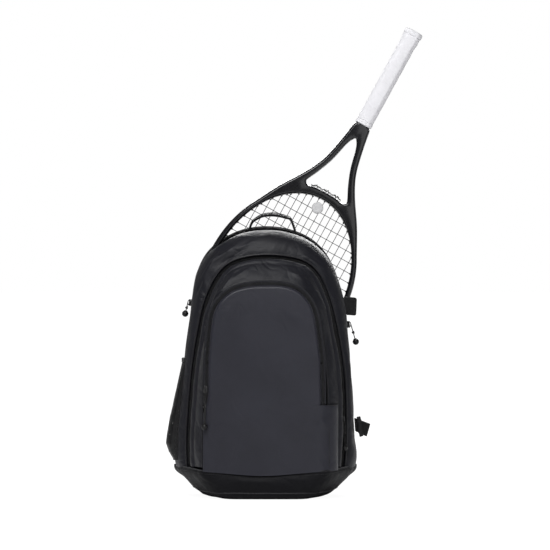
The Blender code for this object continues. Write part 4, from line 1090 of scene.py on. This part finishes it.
def lower_web(label):
    """The adjusting webbing from the corner tab up to the ladder lock, with its folded end."""
    node = "lower_webbing_" + label
    pts = points_of(node)
    order = np.argsort(pts[:, 2])
    low, high = pts[order[:4]].mean(axis=0), pts[order[-4:]].mean(axis=0)
    path = smooth_path([low, low * 0.75 + high * 0.25 + (0, 0.0003, 0), low * 0.4 + high * 0.6, high], 50)
    across = np.cross(high - low, REAR)
    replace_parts(ribbon("web_" + label, path, across, width=0.0250, thickness=0.0015, material=WEBBING,
                       body=node), node)
    for k, share in enumerate((0.05, 0.11)):
        spot = low + (high - low) * share + (0, 0.0012, 0)
        side_way = np.array(across) / np.linalg.norm(across)
        bar = [spot + side_way * (t - 0.5) * 0.021 for t in np.linspace(0, 1, 9)]
        stitches("web_bartack_%s_%d" % (label, k), bar, STITCH, node, pitch=0.0012, length=0.0009)


def grab_handle():
    """The carry loop: a folded webbing strap, its feet sewn flat to the back panel."""
    pts = points_of("grab_handle")
    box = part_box("grab_handle")
    ring = hull(pts[:, [0, 2]])
    top = sorted(ring, key=lambda p: p[0])
    y = (box[0][1] + box[1][1]) / 2
    left_foot, right_foot = (box[0][0], box[0][2] - 0.004), (box[1][0] - 0.001, box[0][2] - 0.009)
    crest = [p for p in top if p[1] > box[0][2] + 0.014]
    path = smooth_path([left_foot] + [tuple(np.array(p) - (0, 0.0021)) for p in crest[::2]] + [right_foot],
                       70)
    line = at_depth(path, y)
    lean = np.array([(0, 1, 0.25 * math.sin(math.pi * t)) for t in np.linspace(0, 1, 70)])
    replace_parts(ribbon("handle_webbing", line, lean, width=0.0205, thickness=0.0036, material=WEBBING,
                       body="grab_handle"), "grab_handle")
    for k, shift in enumerate((-0.0075, 0.0075)):
        normal = side_normals(path)
        edge = at_depth(path - normal * 0.0022, y + shift)
        stitches("handle_stitch_%d" % k, edge[4:-4], STITCH, "grab_handle")


# ---- Mesh pocket and side straps ------------------------------------------------------------------
def mesh_pocket():
    """The stretch mesh bottle pocket, gathered into its elastic binding, and sewn down at its sides and
    foot."""
    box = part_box("mesh_pocket")
    pts = points_of("mesh_pocket")
    (y0, z0), (y1, z1) = box[0][1:], box[1][1:]
    levels = np.array(sorted({round(z, 4) for z in pts[:, 2]}))
    spans = [pts[abs(pts[:, 2] - z) < 0.0008][:, 0] for z in levels]
    path = np.column_stack([[-span.min() for span in spans], [-span.max() for span in spans], levels])
    path = smooth_path(path, 54)
    rows = []
    for out, wall, z in path:
        share = (z - z0) / (z1 - z0)
        row = []
        for turn in np.linspace(0, math.pi, 72):
            base_x = wall - 0.0020 - 0.0062 * (0.5 + 0.5 * math.cos(turn)) ** 1.5
            gather = 0.0006 * share ** 4 * math.sin(turn * 26 + 2.0 * math.sin(z * 90))
            ruck = 0.0011 * ruffle((turn * 0.012, 0, z), size=0.030, seed=9) * math.sin(turn)
            reach = base_x + (out - base_x) * math.sin(turn) ** 0.62 + (gather + ruck) * math.sin(turn)
            y = (y0 + y1) / 2 - (y1 - y0) / 2 * math.cos(turn)
            row.append((-reach, y, z))
        rows.append(row)
    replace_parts(cloth("mesh_pocket_net", rows, NETTING, "pack", thickness=0.0006), "mesh_pocket")
    rim = np.array(rows[-1])
    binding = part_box("pocket_binding")
    middle = (binding[0][2] + binding[1][2]) / 2
    path = smooth_path(rim[::3] * (1, 1, 0) + (0, 0, middle), 110)
    path[:, 2] += 0.0004 * np.sin(np.linspace(0, 60, 110))
    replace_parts(ribbon("pocket_elastic", path, (0, 0, 1), width=0.0070, thickness=0.0019, material=WEBBING,
                       body="pack"), "pocket_binding")
    for k, shift in enumerate((-0.0022, 0.0022)):
        outward = np.array([(-0.0013, 0, 0)]) * np.ones((110, 1))
        stitches("pocket_binding_stitch_%d" % k, path + outward + (0, 0, shift), STITCH, "pack")
    foot = np.array(rows[0]) + (0, 0, 0.0006)
    tube("mesh_pocket_foot", foot[4:-4], radius=0.0012, material=PIPING, body="pack")


def slab_strap(name, node, material, edge=0.0011, crown=0.0003):
    """A short stitched strap that keeps its CAD outline, with rounded edges and an edge stitch."""
    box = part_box(node)
    ring = ring_of(node, 150, passes=3)
    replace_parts(cushion(name, ring, box[0][1], box[1][1], material, node, edge=edge, crown=crown,
                        steps=10), node)
    inner = inset(ring, 0.0022, wrap=True)
    stitches(name + "_stitch", at_depth(closed(inner), box[0][1] - 0.0001), STITCH, node, pitch=0.0030,
             length=0.0020)


def side_straps():
    """The folded hook-and-loop tab above, and the webbing loop with its tri-glide below."""
    slab_strap("stick_tab", "stick_strap_upper", WEBBING)
    ring = ring_of("stick_strap_upper", 150, passes=3)
    low, high = ring.min(axis=0), ring.max(axis=0)
    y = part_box("stick_strap_upper")[0][1] - 0.0002
    patch = [(low[0] + 0.004 + 0.015 * u, y, low[1] + 0.006 + (high[1] - low[1] - 0.012) * v) for u,
             v in ((0, 0), (1, 0), (1, 1), (0, 1), (0, 0))]
    stitches("stick_tab_box", resample(np.array(patch), 60), STITCH, "stick_strap_upper", pitch=0.0026,
             length=0.0018)
    slab_strap("stick_loop", "stick_strap_lower", WEBBING, edge=0.0009, crown=0.0002)
    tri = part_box("tri_glide")
    ring = ring_of("tri_glide", 100, passes=3)
    middle = ring.mean(axis=0)
    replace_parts(cushion("tri_glide_plate", ring, tri[0][1], tri[1][1], PLASTIC, "stick_strap_lower",
                        edge=0.0007, crown=0.0, steps=6), "tri_glide")
    long_way = ring[np.argmax(ring[:, 1])] - ring[np.argmin(ring[:, 1])]
    long_way /= np.linalg.norm(long_way)
    across = np.array([long_way[1], -long_way[0]])
    slots = []
    for shift in (-0.0019, 0.0019):
        centre = middle + across * shift
        axes = ((long_way[0], 0, long_way[1]), (across[0], 0, across[1]), REAR)
        slots.append(box_parts((centre[0], tri[0][1] - 0.0001, centre[1]), axes, (0.026, 0.0015, 0.0006)))
    merged("tri_glide_slots", slots, TAPE, "stick_strap_lower")


# ---- Sliders and pulls ----------------------------------------------------------------------------
def slider(node, body, facing, along):
    """A zip slider: a wedge-shaped shell, a raised bridge and the bail that the cord runs through."""
    box = np.array(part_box(node))
    middle = box.mean(axis=0)
    facing, along = np.array(facing, float), np.array(along, float)
    along /= np.linalg.norm(along)
    across = np.cross(along, facing)
    size = abs(box[1] - box[0])
    wide = float(min(0.0078, abs(across) @ size))
    deep = float(abs(facing) @ size)
    outline = [(-0.5, -0.28), (-0.40, -0.46), (-0.16, -0.52), (0.16, -0.52), (0.40, -0.46), (0.5, -0.28),
               (0.46, 0.30), (0.30, 0.50), (-0.30, 0.50), (-0.46, 0.30)]
    length = 0.0122
    layers = ((-0.50, 0.88), (-0.34, 1.0), (-0.10, 1.0), (0.02, 0.90), (0.10, 0.90), (0.24, 1.0),
              (0.40, 1.0), (0.5, 0.86))
    rings = []
    for level, grow in layers:
        rings += [middle + across * wide * u * grow + along * length * v * grow
                  + facing * deep * level * 0.9 for u, v in outline]
    n = len(outline)
    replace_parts(merged(node + "_shell", [(rings, capped(len(layers), n))], METAL, body,
                       smooth=40), node)
    arch_path = [middle + facing * (deep * 0.40 + 0.0021 * math.sin(t)) + along * 0.0042 * math.cos(t)
                 for t in np.linspace(0, math.pi, 14)]
    tube(node + "_bail", arch_path, radius=0.00075, material=METAL, body=body)


def cord_pull(node, body, lean=(1.0, 0.0, 0.0)):
    """A cord pull: two cord strands from the bail to a knot, then into a moulded ribbed ball."""
    pts = points_of(node)
    order = np.argsort(pts[:, 2])
    top = pts[order[-10:]].mean(axis=0)
    low = pts[order[0], 2]
    near = pts[pts[:, 2] < low + 0.0114]
    ball = (near.max(axis=0) + near.min(axis=0)) / 2
    ball[2] = low + 0.0057
    line = ball - top
    length = float(np.linalg.norm(line))
    line /= length
    side = np.array(lean) - line * (np.array(lean) @ line)
    side /= np.linalg.norm(side)
    out = np.cross(line, side)
    knot_at = 0.47 * length
    parts = []
    for sign in (-1, 1):
        keys = [top + side * 0.0002 * sign, top + line * 0.12 * length + side * 0.0013 * sign, top
                + line * 0.30 * length + side * 0.0014 * sign, top + line * knot_at + side * 0.0004 * sign]
        parts.append(tube_mesh(smooth_path(keys, 16), 0.00085))
        between = knot_at + 0.4 * (length - knot_at)
        keys = [top + line * knot_at + side * 0.0004 * sign, top + line * between + side * 0.0010 * sign,
                ball - line * 0.0048 + side * 0.0006 * sign]
        parts.append(tube_mesh(smooth_path(keys, 14), 0.00085))
    merged(node + "_cord", parts, WEBBING, body)
    knot = []
    for t in np.linspace(0, math.tau * 1.5, 34):
        turn = side * 0.0017 * math.cos(t) + out * 0.0017 * math.sin(t)
        knot.append(top + line * (knot_at + 0.0016 * math.sin(t * 2 / 3)) + turn)
    tube(node + "_knot", knot, radius=0.0010, material=WEBBING, body=body)
    rings = []
    count = 28
    profile = np.linspace(0.16, math.pi - 0.04, 22)
    for t in profile:
        z = -math.cos(t) * 0.0057
        r = 0.0057 * math.sin(t) * (1 + 0.035 * math.cos(t * 9))
        rings += [ball + line * z + side * r * math.cos(a) + out * r * math.sin(a)
                  for a in np.linspace(0, math.tau, count, endpoint=False)]
    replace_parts(merged(node + "_ball", [(rings, capped(len(profile), count))], RUBBER, body),
                node)
    collar = [ball - line * 0.0053 + side * 0.0021 * math.cos(a) + out * 0.0021 * math.sin(a)
              for a in np.linspace(0, math.tau, 20, endpoint=False)]
    tube(node + "_collar", collar, radius=0.0008, material=RUBBER, body=body, wrap=True)


def zip_hardware():
    """Every slider with its pull."""
    for side, label in SIDES:
        slant = JOINTS["rear_zip_slide_" + label]["axis"]
        name = "rear_slider_" + label
        slider(name, name, (side * slant[2], 0, -side * slant[0]), slant)
        cord_pull("rear_pull_" + label, "rear_pull_" + label, REAR)
    for name, along in (("main", (0, 0, 1)), ("pocket", (0.04, 0, 1))):
        slider(name + "_slider", name + "_slider", FRONT, along)
        cord_pull(name + "_pull", name + "_pull")


# ---- Racket ---------------------------------------------------------------------------------------
HEAD = np.mean(np.array(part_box("cross_strings")), axis=0)
HEAD[1] = (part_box("racket_frame")[0][1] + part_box("racket_frame")[1][1]) / 2
AXIS = np.array(RACKET_AXIS, float)
ACROSS = np.array((AXIS[2], 0.0, -AXIS[0]))
DEPTH = np.array((0.0, 1.0, 0.0))


def on_racket(x, y, z):
    """A point given in the racket's own frame."""
    return HEAD + ACROSS * x + DEPTH * y + AXIS * z


def to_racket(points):
    """Points in the racket's own frame."""
    away = np.asarray(points, float) - HEAD
    return np.column_stack([away @ ACROSS, away @ DEPTH, away @ AXIS])


def frame_loops():
    """The outer edge, the head opening and the throat opening of the CAD frame, each a ring in racket x and
    z."""
    local = to_racket(points_of("racket_frame"))
    mesh = NODES["racket_frame"].data
    front = local[:, 1].min() + 0.0005
    seen = {}
    for face in mesh.polygons:
        if all(local[v][1] < front for v in face.vertices):
            keys = [tuple(np.round(local[v][[0, 2]], 5)) for v in face.vertices]
            for a, b in zip(keys, keys[1:] + keys[:1]):
                edge = (a, b) if a < b else (b, a)
                seen[edge] = seen.get(edge, 0) + 1
    links = {}
    for (a, b), uses in seen.items():
        if uses == 1:
            links.setdefault(a, []).append(b)
            links.setdefault(b, []).append(a)
    loops = []
    left = set(links)
    while left:
        start = min(left)
        loop, last = [start], None
        while True:
            ahead = [p for p in links[loop[-1]] if p != last and p in left or p == start and len(loop) > 2]
            ahead = [p for p in ahead if p not in loop[1:]]
            if not ahead or ahead[0] == start:
                break
            last = loop[-1]
            loop.append(ahead[0])
        left -= set(loop)
        loops.append(np.array(loop))
    loops.sort(key=lambda ring: -np.ptp(ring[:, 1]))
    return loops


def clockwise(ring):
    """Turns a ring clockwise, seen with x right and z up."""
    area = np.sum(ring[:, 0] * np.roll(ring[:, 1], -1) - np.roll(ring[:, 0], -1) * ring[:, 1])
    return ring[::-1] if area > 0 else ring


def racket_frame():
    """The frame as one moulding with a nearly round section, filled between its rounded edges."""
    box = to_racket(points_of("racket_frame"))
    half = (box[:, 1].max() - box[:, 1].min()) / 2
    outer, hoop, throat = frame_loops()[:3]
    smoothed = [eased(even_ring(clockwise(ring), count), 2, wrap=True) for ring,
                count in ((outer, 419), (hoop, 299), (throat, 139))]
    verts, faces = [], []
    inner_loops = []
    turns = np.linspace(0, math.pi / 2, 9)
    for index, ring in enumerate(smoothed):
        sign = 1 if index == 0 else -1
        levels = []
        for face_side in (-1, 1):
            for turn in (turns if face_side < 0 else turns[::-1]):
                pull = 0.0040 * (1 - math.sin(turn))
                y = face_side * (half - 0.0075 * (1 - math.cos(turn)))
                levels.append((pull, y))
        start = len(verts)
        for pull, y in levels:
            line = inset(ring, sign * pull, wrap=True)
            verts.extend(on_racket(x, y, z) for x, z in line)
        count = len(ring)
        faces += grid_faces(len(levels), count, True, start)
        inner_loops.append((start, start + (len(levels) - 1) * count, count))
    mesh = bpy.data.meshes.new("racket_frame_moulding")
    shape = bmesh.new()
    made = [shape.verts.new(tuple(v)) for v in verts]
    for face in faces:
        shape.faces.new([made[i] for i in face])
    for which in (0, 1):
        edges = []
        for loop in inner_loops:
            start, count = loop[which], loop[2]
            for k in range(count):
                a, b = made[start + k], made[start + (k + 1) % count]
                edges.append(shape.edges.get((a, b)) or shape.edges.new((a, b)))
        bmesh.ops.triangle_fill(shape, use_beauty=True, edges=edges, normal=(0, -1 if which == 0 else 1, 0))
    bmesh.ops.recalc_face_normals(shape, faces=shape.faces)
    shape.to_mesh(mesh)
    shape.free()
    mesh.shade_smooth()
    mesh.set_sharp_from_angle(angle=math.radians(40))
    item = bpy.data.objects.new("racket_moulding", mesh)
    SCENE.collection.objects.link(item)
    dress(item, PAINT, "racket")
    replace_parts(item, "racket_frame")
    return smoothed[:2]


def string_layout():
    """Offsets of the mains from the axis, and heights of the crosses, a little wider apart towards the
    edges."""
    mains = [MAIN_PITCH * (k + 0.5) * (1 + 0.0022 * k * k) for k in range(MAINS_PER_SIDE)]
    crosses = [CROSS_PITCH * k * (1 + 0.00136 * k * k)
               for k in range(-CROSSES_PER_SIDE, CROSSES_PER_SIDE + 1)]
    return [-x for x in reversed(mains)] + mains, crosses


def strings(hoop):
    """Woven strings: each main passes over and under the crosses, with a grommet pip where it meets the
    frame."""
    mains, crosses = string_layout()
    half_wide, half_long = np.ptp(hoop[:, 0]) / 2, np.ptp(hoop[:, 1]) / 2
    middle = (hoop[:, 1].max() + hoop[:, 1].min()) / 2
    main_parts, cross_parts, pips = [], [], []
    weave = STRING_R * 0.95
    for i, x in enumerate(mains):
        reach = half_long * math.sqrt(1 - (x / half_wide) ** 2)
        keys = [(x, 0.0, middle - reach - 0.0015)]
        for j, z in enumerate(crosses):
            if abs(z - middle) < reach - 0.004:
                keys.append((x, weave if (i + j) % 2 else -weave, z))
        keys.append((x, 0.0, middle + reach + 0.0015))
        path = smooth_path(keys, len(keys) * 5)
        main_parts.append(tube_mesh([on_racket(*p) for p in path], STRING_R, sides=6))
        pips += [((x, middle - reach), (0, 1)), ((x, middle + reach), (0, -1))]
    for j, z in enumerate(crosses):
        reach = half_wide * math.sqrt(1 - ((z - middle) / half_long) ** 2)
        keys = [(-reach - 0.0015, 0.0, z)]
        for i, x in enumerate(mains):
            if abs(x) < reach - 0.003:
                keys.append((x, -weave if (i + j) % 2 else weave, z))
        keys.append((reach + 0.0015, 0.0, z))
        path = smooth_path(keys, len(keys) * 5)
        cross_parts.append(tube_mesh([on_racket(*p) for p in path], STRING_R, sides=6))
        pips += [((-reach, z), (1, 0)), ((reach, z), (-1, 0))]
    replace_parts(merged("string_mains", main_parts, STRING, "racket"), "main_strings")
    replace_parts(merged("string_crosses", cross_parts, STRING, "racket"), "cross_strings")
    parts = []
    for (x, z), (dx, dz) in pips:
        line = [on_racket(x - dx * 0.0015 + dx * s, 0, z - dz * 0.0015 + dz * s)
                for s in (0, 0.0012, 0.0030, 0.0036)]
        parts.append(tube_mesh(line, [0.0019, 0.0018, 0.0013, 0.0009]))
    merged("grommet_pips", parts, GROMMET, "racket")


def head_guard(outer):
    """The bumper strip over the tip, with a raised rib down each side and a string groove between."""
    low = to_racket(points_of("head_guard"))
    top = low[:, 2].max()
    keep = outer[outer[:, 1] < top]
    order = np.argsort(np.arctan2(keep[:, 0], -keep[:, 1]))
    path = resample(keep[order], 120)
    run = np.gradient(path, axis=0)
    run /= np.linalg.norm(run, axis=1)[:, None]
    out = np.column_stack([run[:, 1], -run[:, 0]])
    if out[60][1] > 0:
        out = -out
    half = (low[:, 1].max() - low[:, 1].min()) / 2
    profile = [(-1.0, 0.0001), (-1.0, 0.0010), (-0.86, 0.0017), (-0.62, 0.0017), (-0.42, 0.0008),
               (0.42, 0.0008), (0.62, 0.0017), (0.86, 0.0017), (1.0, 0.0010), (1.0, 0.0001)]
    taper = np.minimum(1, np.minimum(np.arange(120), np.arange(120)[::-1]) / 8) ** 0.5
    verts = []
    for k, p in enumerate(path):
        for y, lift in profile:
            spot = p + out[k] * (0.0001 + lift * (0.2 + 0.8 * taper[k]))
            verts.append(on_racket(spot[0], y * half * (0.55 + 0.45 * taper[k]), spot[1]))
    n = len(profile)
    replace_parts(piece("bumper", verts, capped(120, n), GROMMET, "racket"), "head_guard")


def yoke_strip():
    """The three-humped grommet strip on the throat side of the yoke."""
    local = to_racket(points_of("yoke_grommets"))
    heights = {}
    for x in np.linspace(local[:, 0].min(), local[:, 0].max(), 49):
        heights[x] = local[np.argsort(abs(local[:, 0] - x))[:4]][:, 2].min()
    half = local[:, 1].max()
    verts = []
    for x, low in heights.items():
        lift = 0.0005 + 0.0013 * (0.5 + 0.5 * math.cos(x / 0.0200 * math.tau))
        edge, crest = low + 0.0009, low + 0.0012 + lift
        for y, z in ((-half, low), (-half, edge), (-half * 0.72, crest), (half * 0.72, crest), (half, edge),
                     (half, low)):
            verts.append(on_racket(x, y, z))
    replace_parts(piece("yoke_strip", verts, capped(49, 6), GROMMET, "racket"),
                "yoke_grommets")


def grip():
    """The octagonal handle in a spiral overgrip, its finishing collar and the flared butt cap."""
    sleeve = to_racket(points_of("grip"))
    count = 64
    corner = 0.42

    def section(half, z, lift):
        ring = []
        for k in range(count):
            a = math.tau * k / count
            c, s = math.cos(a), math.sin(a)
            flat = max(abs(c), abs(s) / 0.90, (abs(c) + abs(s) / 0.90) / (2 - corner))
            r = half / flat
            r = r * 0.75 + 0.25 * half * 1.02
            ring.append(on_racket((r + lift[k]) * c, (r + lift[k]) * s, z))
        return ring

    low, high = sleeve[:, 2].min(), sleeve[:, 2].max()
    pitch = 0.0235
    rings = []
    steps = 260
    for z in np.linspace(low, high, steps):
        flare = 0.0009 * swell((z - (high - 0.022)) / 0.016)
        lift = []
        for k in range(count):
            phase = ((z - low) / pitch + k / count) % 1.0
            lift.append(0.0004 * swell(phase / 0.90) - 0.0004 * swell((phase - 0.955) / 0.045)
                        - 0.00022 * math.exp(-((phase - 0.5) / 0.03) ** 2))
        rings.append(section(0.0149 + flare, z, lift))
    verts = np.array(rings).reshape(-1, 3)
    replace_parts(piece("overgrip", verts, capped(steps, count), GRIP, "racket", smooth=60),
                "grip")
    ends = (("grip_band", "grip_collar",
             ((0.0, 0.0146), (0.10, 0.0155), (0.5, 0.0157), (0.9, 0.0155), (1.0, 0.0149))),
            ("butt", "butt_cap", ((0.0, 0.0165), (0.12, 0.0170), (0.5, 0.0171), (0.75, 0.0168),
                                  (0.90, 0.0160), (1.0, 0.0145), (1.0, 0.0115), (0.93, 0.0110),
                                  (0.93, 0.0030))))
    for name, node, levels in ends:
        along = to_racket(points_of(node))[:, 2]
        z0, z1 = along.min(), along.max()
        rings = [section(half, z0 + (z1 - z0) * share, [0.0] * count) for share, half in levels]
        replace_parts(piece(name, np.array(rings).reshape(-1, 3), capped(len(levels), count), GRIP, "racket"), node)


def damper():
    """The button damper: two domed discs with a groove between them that the middle strings sit in."""
    local = to_racket(points_of("vibration_damper"))
    centre = local.mean(axis=0)
    centre[0] = 0.0
    y0, y1 = local[:, 1].min(), local[:, 1].max()
    radius = np.ptp(local[:, 0]) / 2
    centre[2] = (local[:, 2].min() + local[:, 2].max()) / 2
    profile = [(0.0, 0.2), (0.0, 0.70), (0.02, 0.86), (0.10, 0.97), (0.18, 1.0), (0.26, 0.97), (0.32, 0.86),
               (0.34, 0.34), (0.66, 0.34), (0.68, 0.86), (0.74, 0.97), (0.82, 1.0), (0.90, 0.97),
               (0.98, 0.86), (1.0, 0.70), (1.0, 0.2)]
    count = 48
    verts = []
    for share, grow in profile:
        for k in range(count):
            a = math.tau * k / count
            dish = 0.0004 if grow <= 0.2 else 0.0
            y = y0 + (y1 - y0) * share + (dish if share < 0.5 else -dish)
            verts.append(on_racket(centre[0] + radius * grow * math.cos(a), y,
                                   centre[2] + radius * grow * math.sin(a)))
    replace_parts(piece("damper_button", verts, capped(len(profile), count), DAMPER, "racket"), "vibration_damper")


def sleeve_inside():
    """The padded divider and the floor of the racket sleeve, covered in lining cloth."""
    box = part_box("racket_divider")
    ring = ring_of("racket_divider", 240)
    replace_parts(cushion("divider_cloth", ring, box[0][1], box[1][1], NYLON, "pack",
                        edge=0.0018, crown=0.0, seed=8, ripple=0.0), "racket_divider")
    (x0, y0, z0), (x1, y1, z1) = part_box("racket_rest")
    rows = []
    for x in np.linspace(x0, x1, 60):
        sag = 0.0010 * math.sin(math.pi * (x - x0) / (x1 - x0))
        rows.append([(x, y, (z0 + z1) / 2 - sag * math.sin(math.pi * (y - y0) / (y1 - y0)) * 0.6)
                     for y in np.linspace(y0, y1, 10)])
    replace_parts(cloth("rest_cloth", rows, NYLON, "pack", thickness=z1 - z0 - 0.0008),
                "racket_rest")


# ---- Stage ----------------------------------------------------------------------------------------
def studio_paper():
    """White paper that the camera sees nearly evenly lit, with a faint contact shadow near the pack."""
    made = look("studio_paper", (0.90, 0.90, 0.905), 0.85, tint=0.01, mottle=0.4)
    tree = made.node_tree
    node = node_maker(tree)
    away = node("VectorMath", {0: node("TexCoord").outputs["Object"]}, operation="LENGTH").outputs["Value"]
    glow = node("MapRange", {"Value": away, "From Min": 0.5, "From Max": 2.0, "To Min": 1.14,
                             "To Max": 1.26})
    paper = node("Emission", {"Strength": glow.outputs["Result"]}).outputs[0]
    seen = node("LightPath").outputs["Is Camera Ray"]
    share = node("Math", {0: seen, 1: 0.84}, operation="MULTIPLY").outputs[0]
    mix = node("MixShader", {0: share, 1: tree.nodes["Principled BSDF"].outputs[0], 2: paper})
    tree.links.new(mix.outputs[0], tree.nodes["Material Output"].inputs["Surface"])
    return made


def stage():
    """A wide pale floor, soft lights round the pack, a white world, and the camera."""
    low, high = np.array(CAD_LOW), np.array(CAD_HIGH)
    floor = bpy.data.meshes.new("studio_floor")
    wide = 60.0
    floor.from_pydata([(-wide, -wide, 0), (wide, -wide, 0), (wide, wide, 0), (-wide, wide, 0)], [],
                      [(0, 1, 2, 3)])
    item = bpy.data.objects.new("studio_floor", floor)
    SCENE.collection.objects.link(item)
    floor.materials.append(studio_paper())
    # Each lamp's name, place, side length and power
    lamps = (("key", (-0.4, -1.8, 2.0), 1.1, 37.0), ("fill", (1.0, -2.6, 1.0), 1.6, 7.0),
             ("top", (-0.3, -0.4, 2.3), 0.9, 5.0), ("rim_left", (-2.0, 0.6, 1.0), 0.6, 1.6),
             ("rim_right", (2.0, 0.9, 0.9), 0.6, 1.2), ("back", (0.3, 2.4, 1.5), 1.4, 52.0))
    target = Vector(((low + high) / 2).tolist())
    for name, place, size, power in lamps:
        data = bpy.data.lights.new(name, "AREA")
        data.shape = "SQUARE"
        data.size = size
        data.energy = power
        lamp = bpy.data.objects.new(name, data)
        lamp.location = place
        lamp.rotation_euler = (target - Vector(place)).to_track_quat("-Z", "Y").to_euler()
        SCENE.collection.objects.link(lamp)
    world = bpy.data.worlds.new("studio") if SCENE.world is None else SCENE.world
    SCENE.world = world
    world.use_nodes = True
    sky = world.node_tree
    node = node_maker(sky)
    seen = node("LightPath").outputs["Is Camera Ray"]
    strength = node("MapRange", {"Value": seen, "To Min": 0.08, "To Max": 1.0}).outputs["Result"]
    backdrop = sky.nodes["Background"]
    backdrop.inputs["Color"].default_value = (1, 1, 1, 1)
    sky.links.new(strength, backdrop.inputs["Strength"])
    camera = bpy.data.objects.new("camera", bpy.data.cameras.new("camera"))
    lens, sensor, span, subject_y = 200, 36, 0.9735, 0.020
    camera.data.lens = lens
    camera.data.sensor_width = sensor
    camera.location = (0.016, subject_y - span * lens / sensor, 0.390)
    camera.rotation_euler = (math.pi / 2, 0, 0)
    SCENE.collection.objects.link(camera)
    SCENE.camera = camera
    SCENE.view_settings.view_transform = "Standard"


hood()
base()
flap()
main_zip()
pocket_zip()
front_panel()
gussets()
back_panel()
pads()
shoulder_straps()
grab_handle()
mesh_pocket()
side_straps()
zip_hardware()
OUTER, HOOP = racket_frame()
strings(HOOP)
head_guard(OUTER)
yoke_strip()
grip()
damper()
sleeve_inside()
stage()
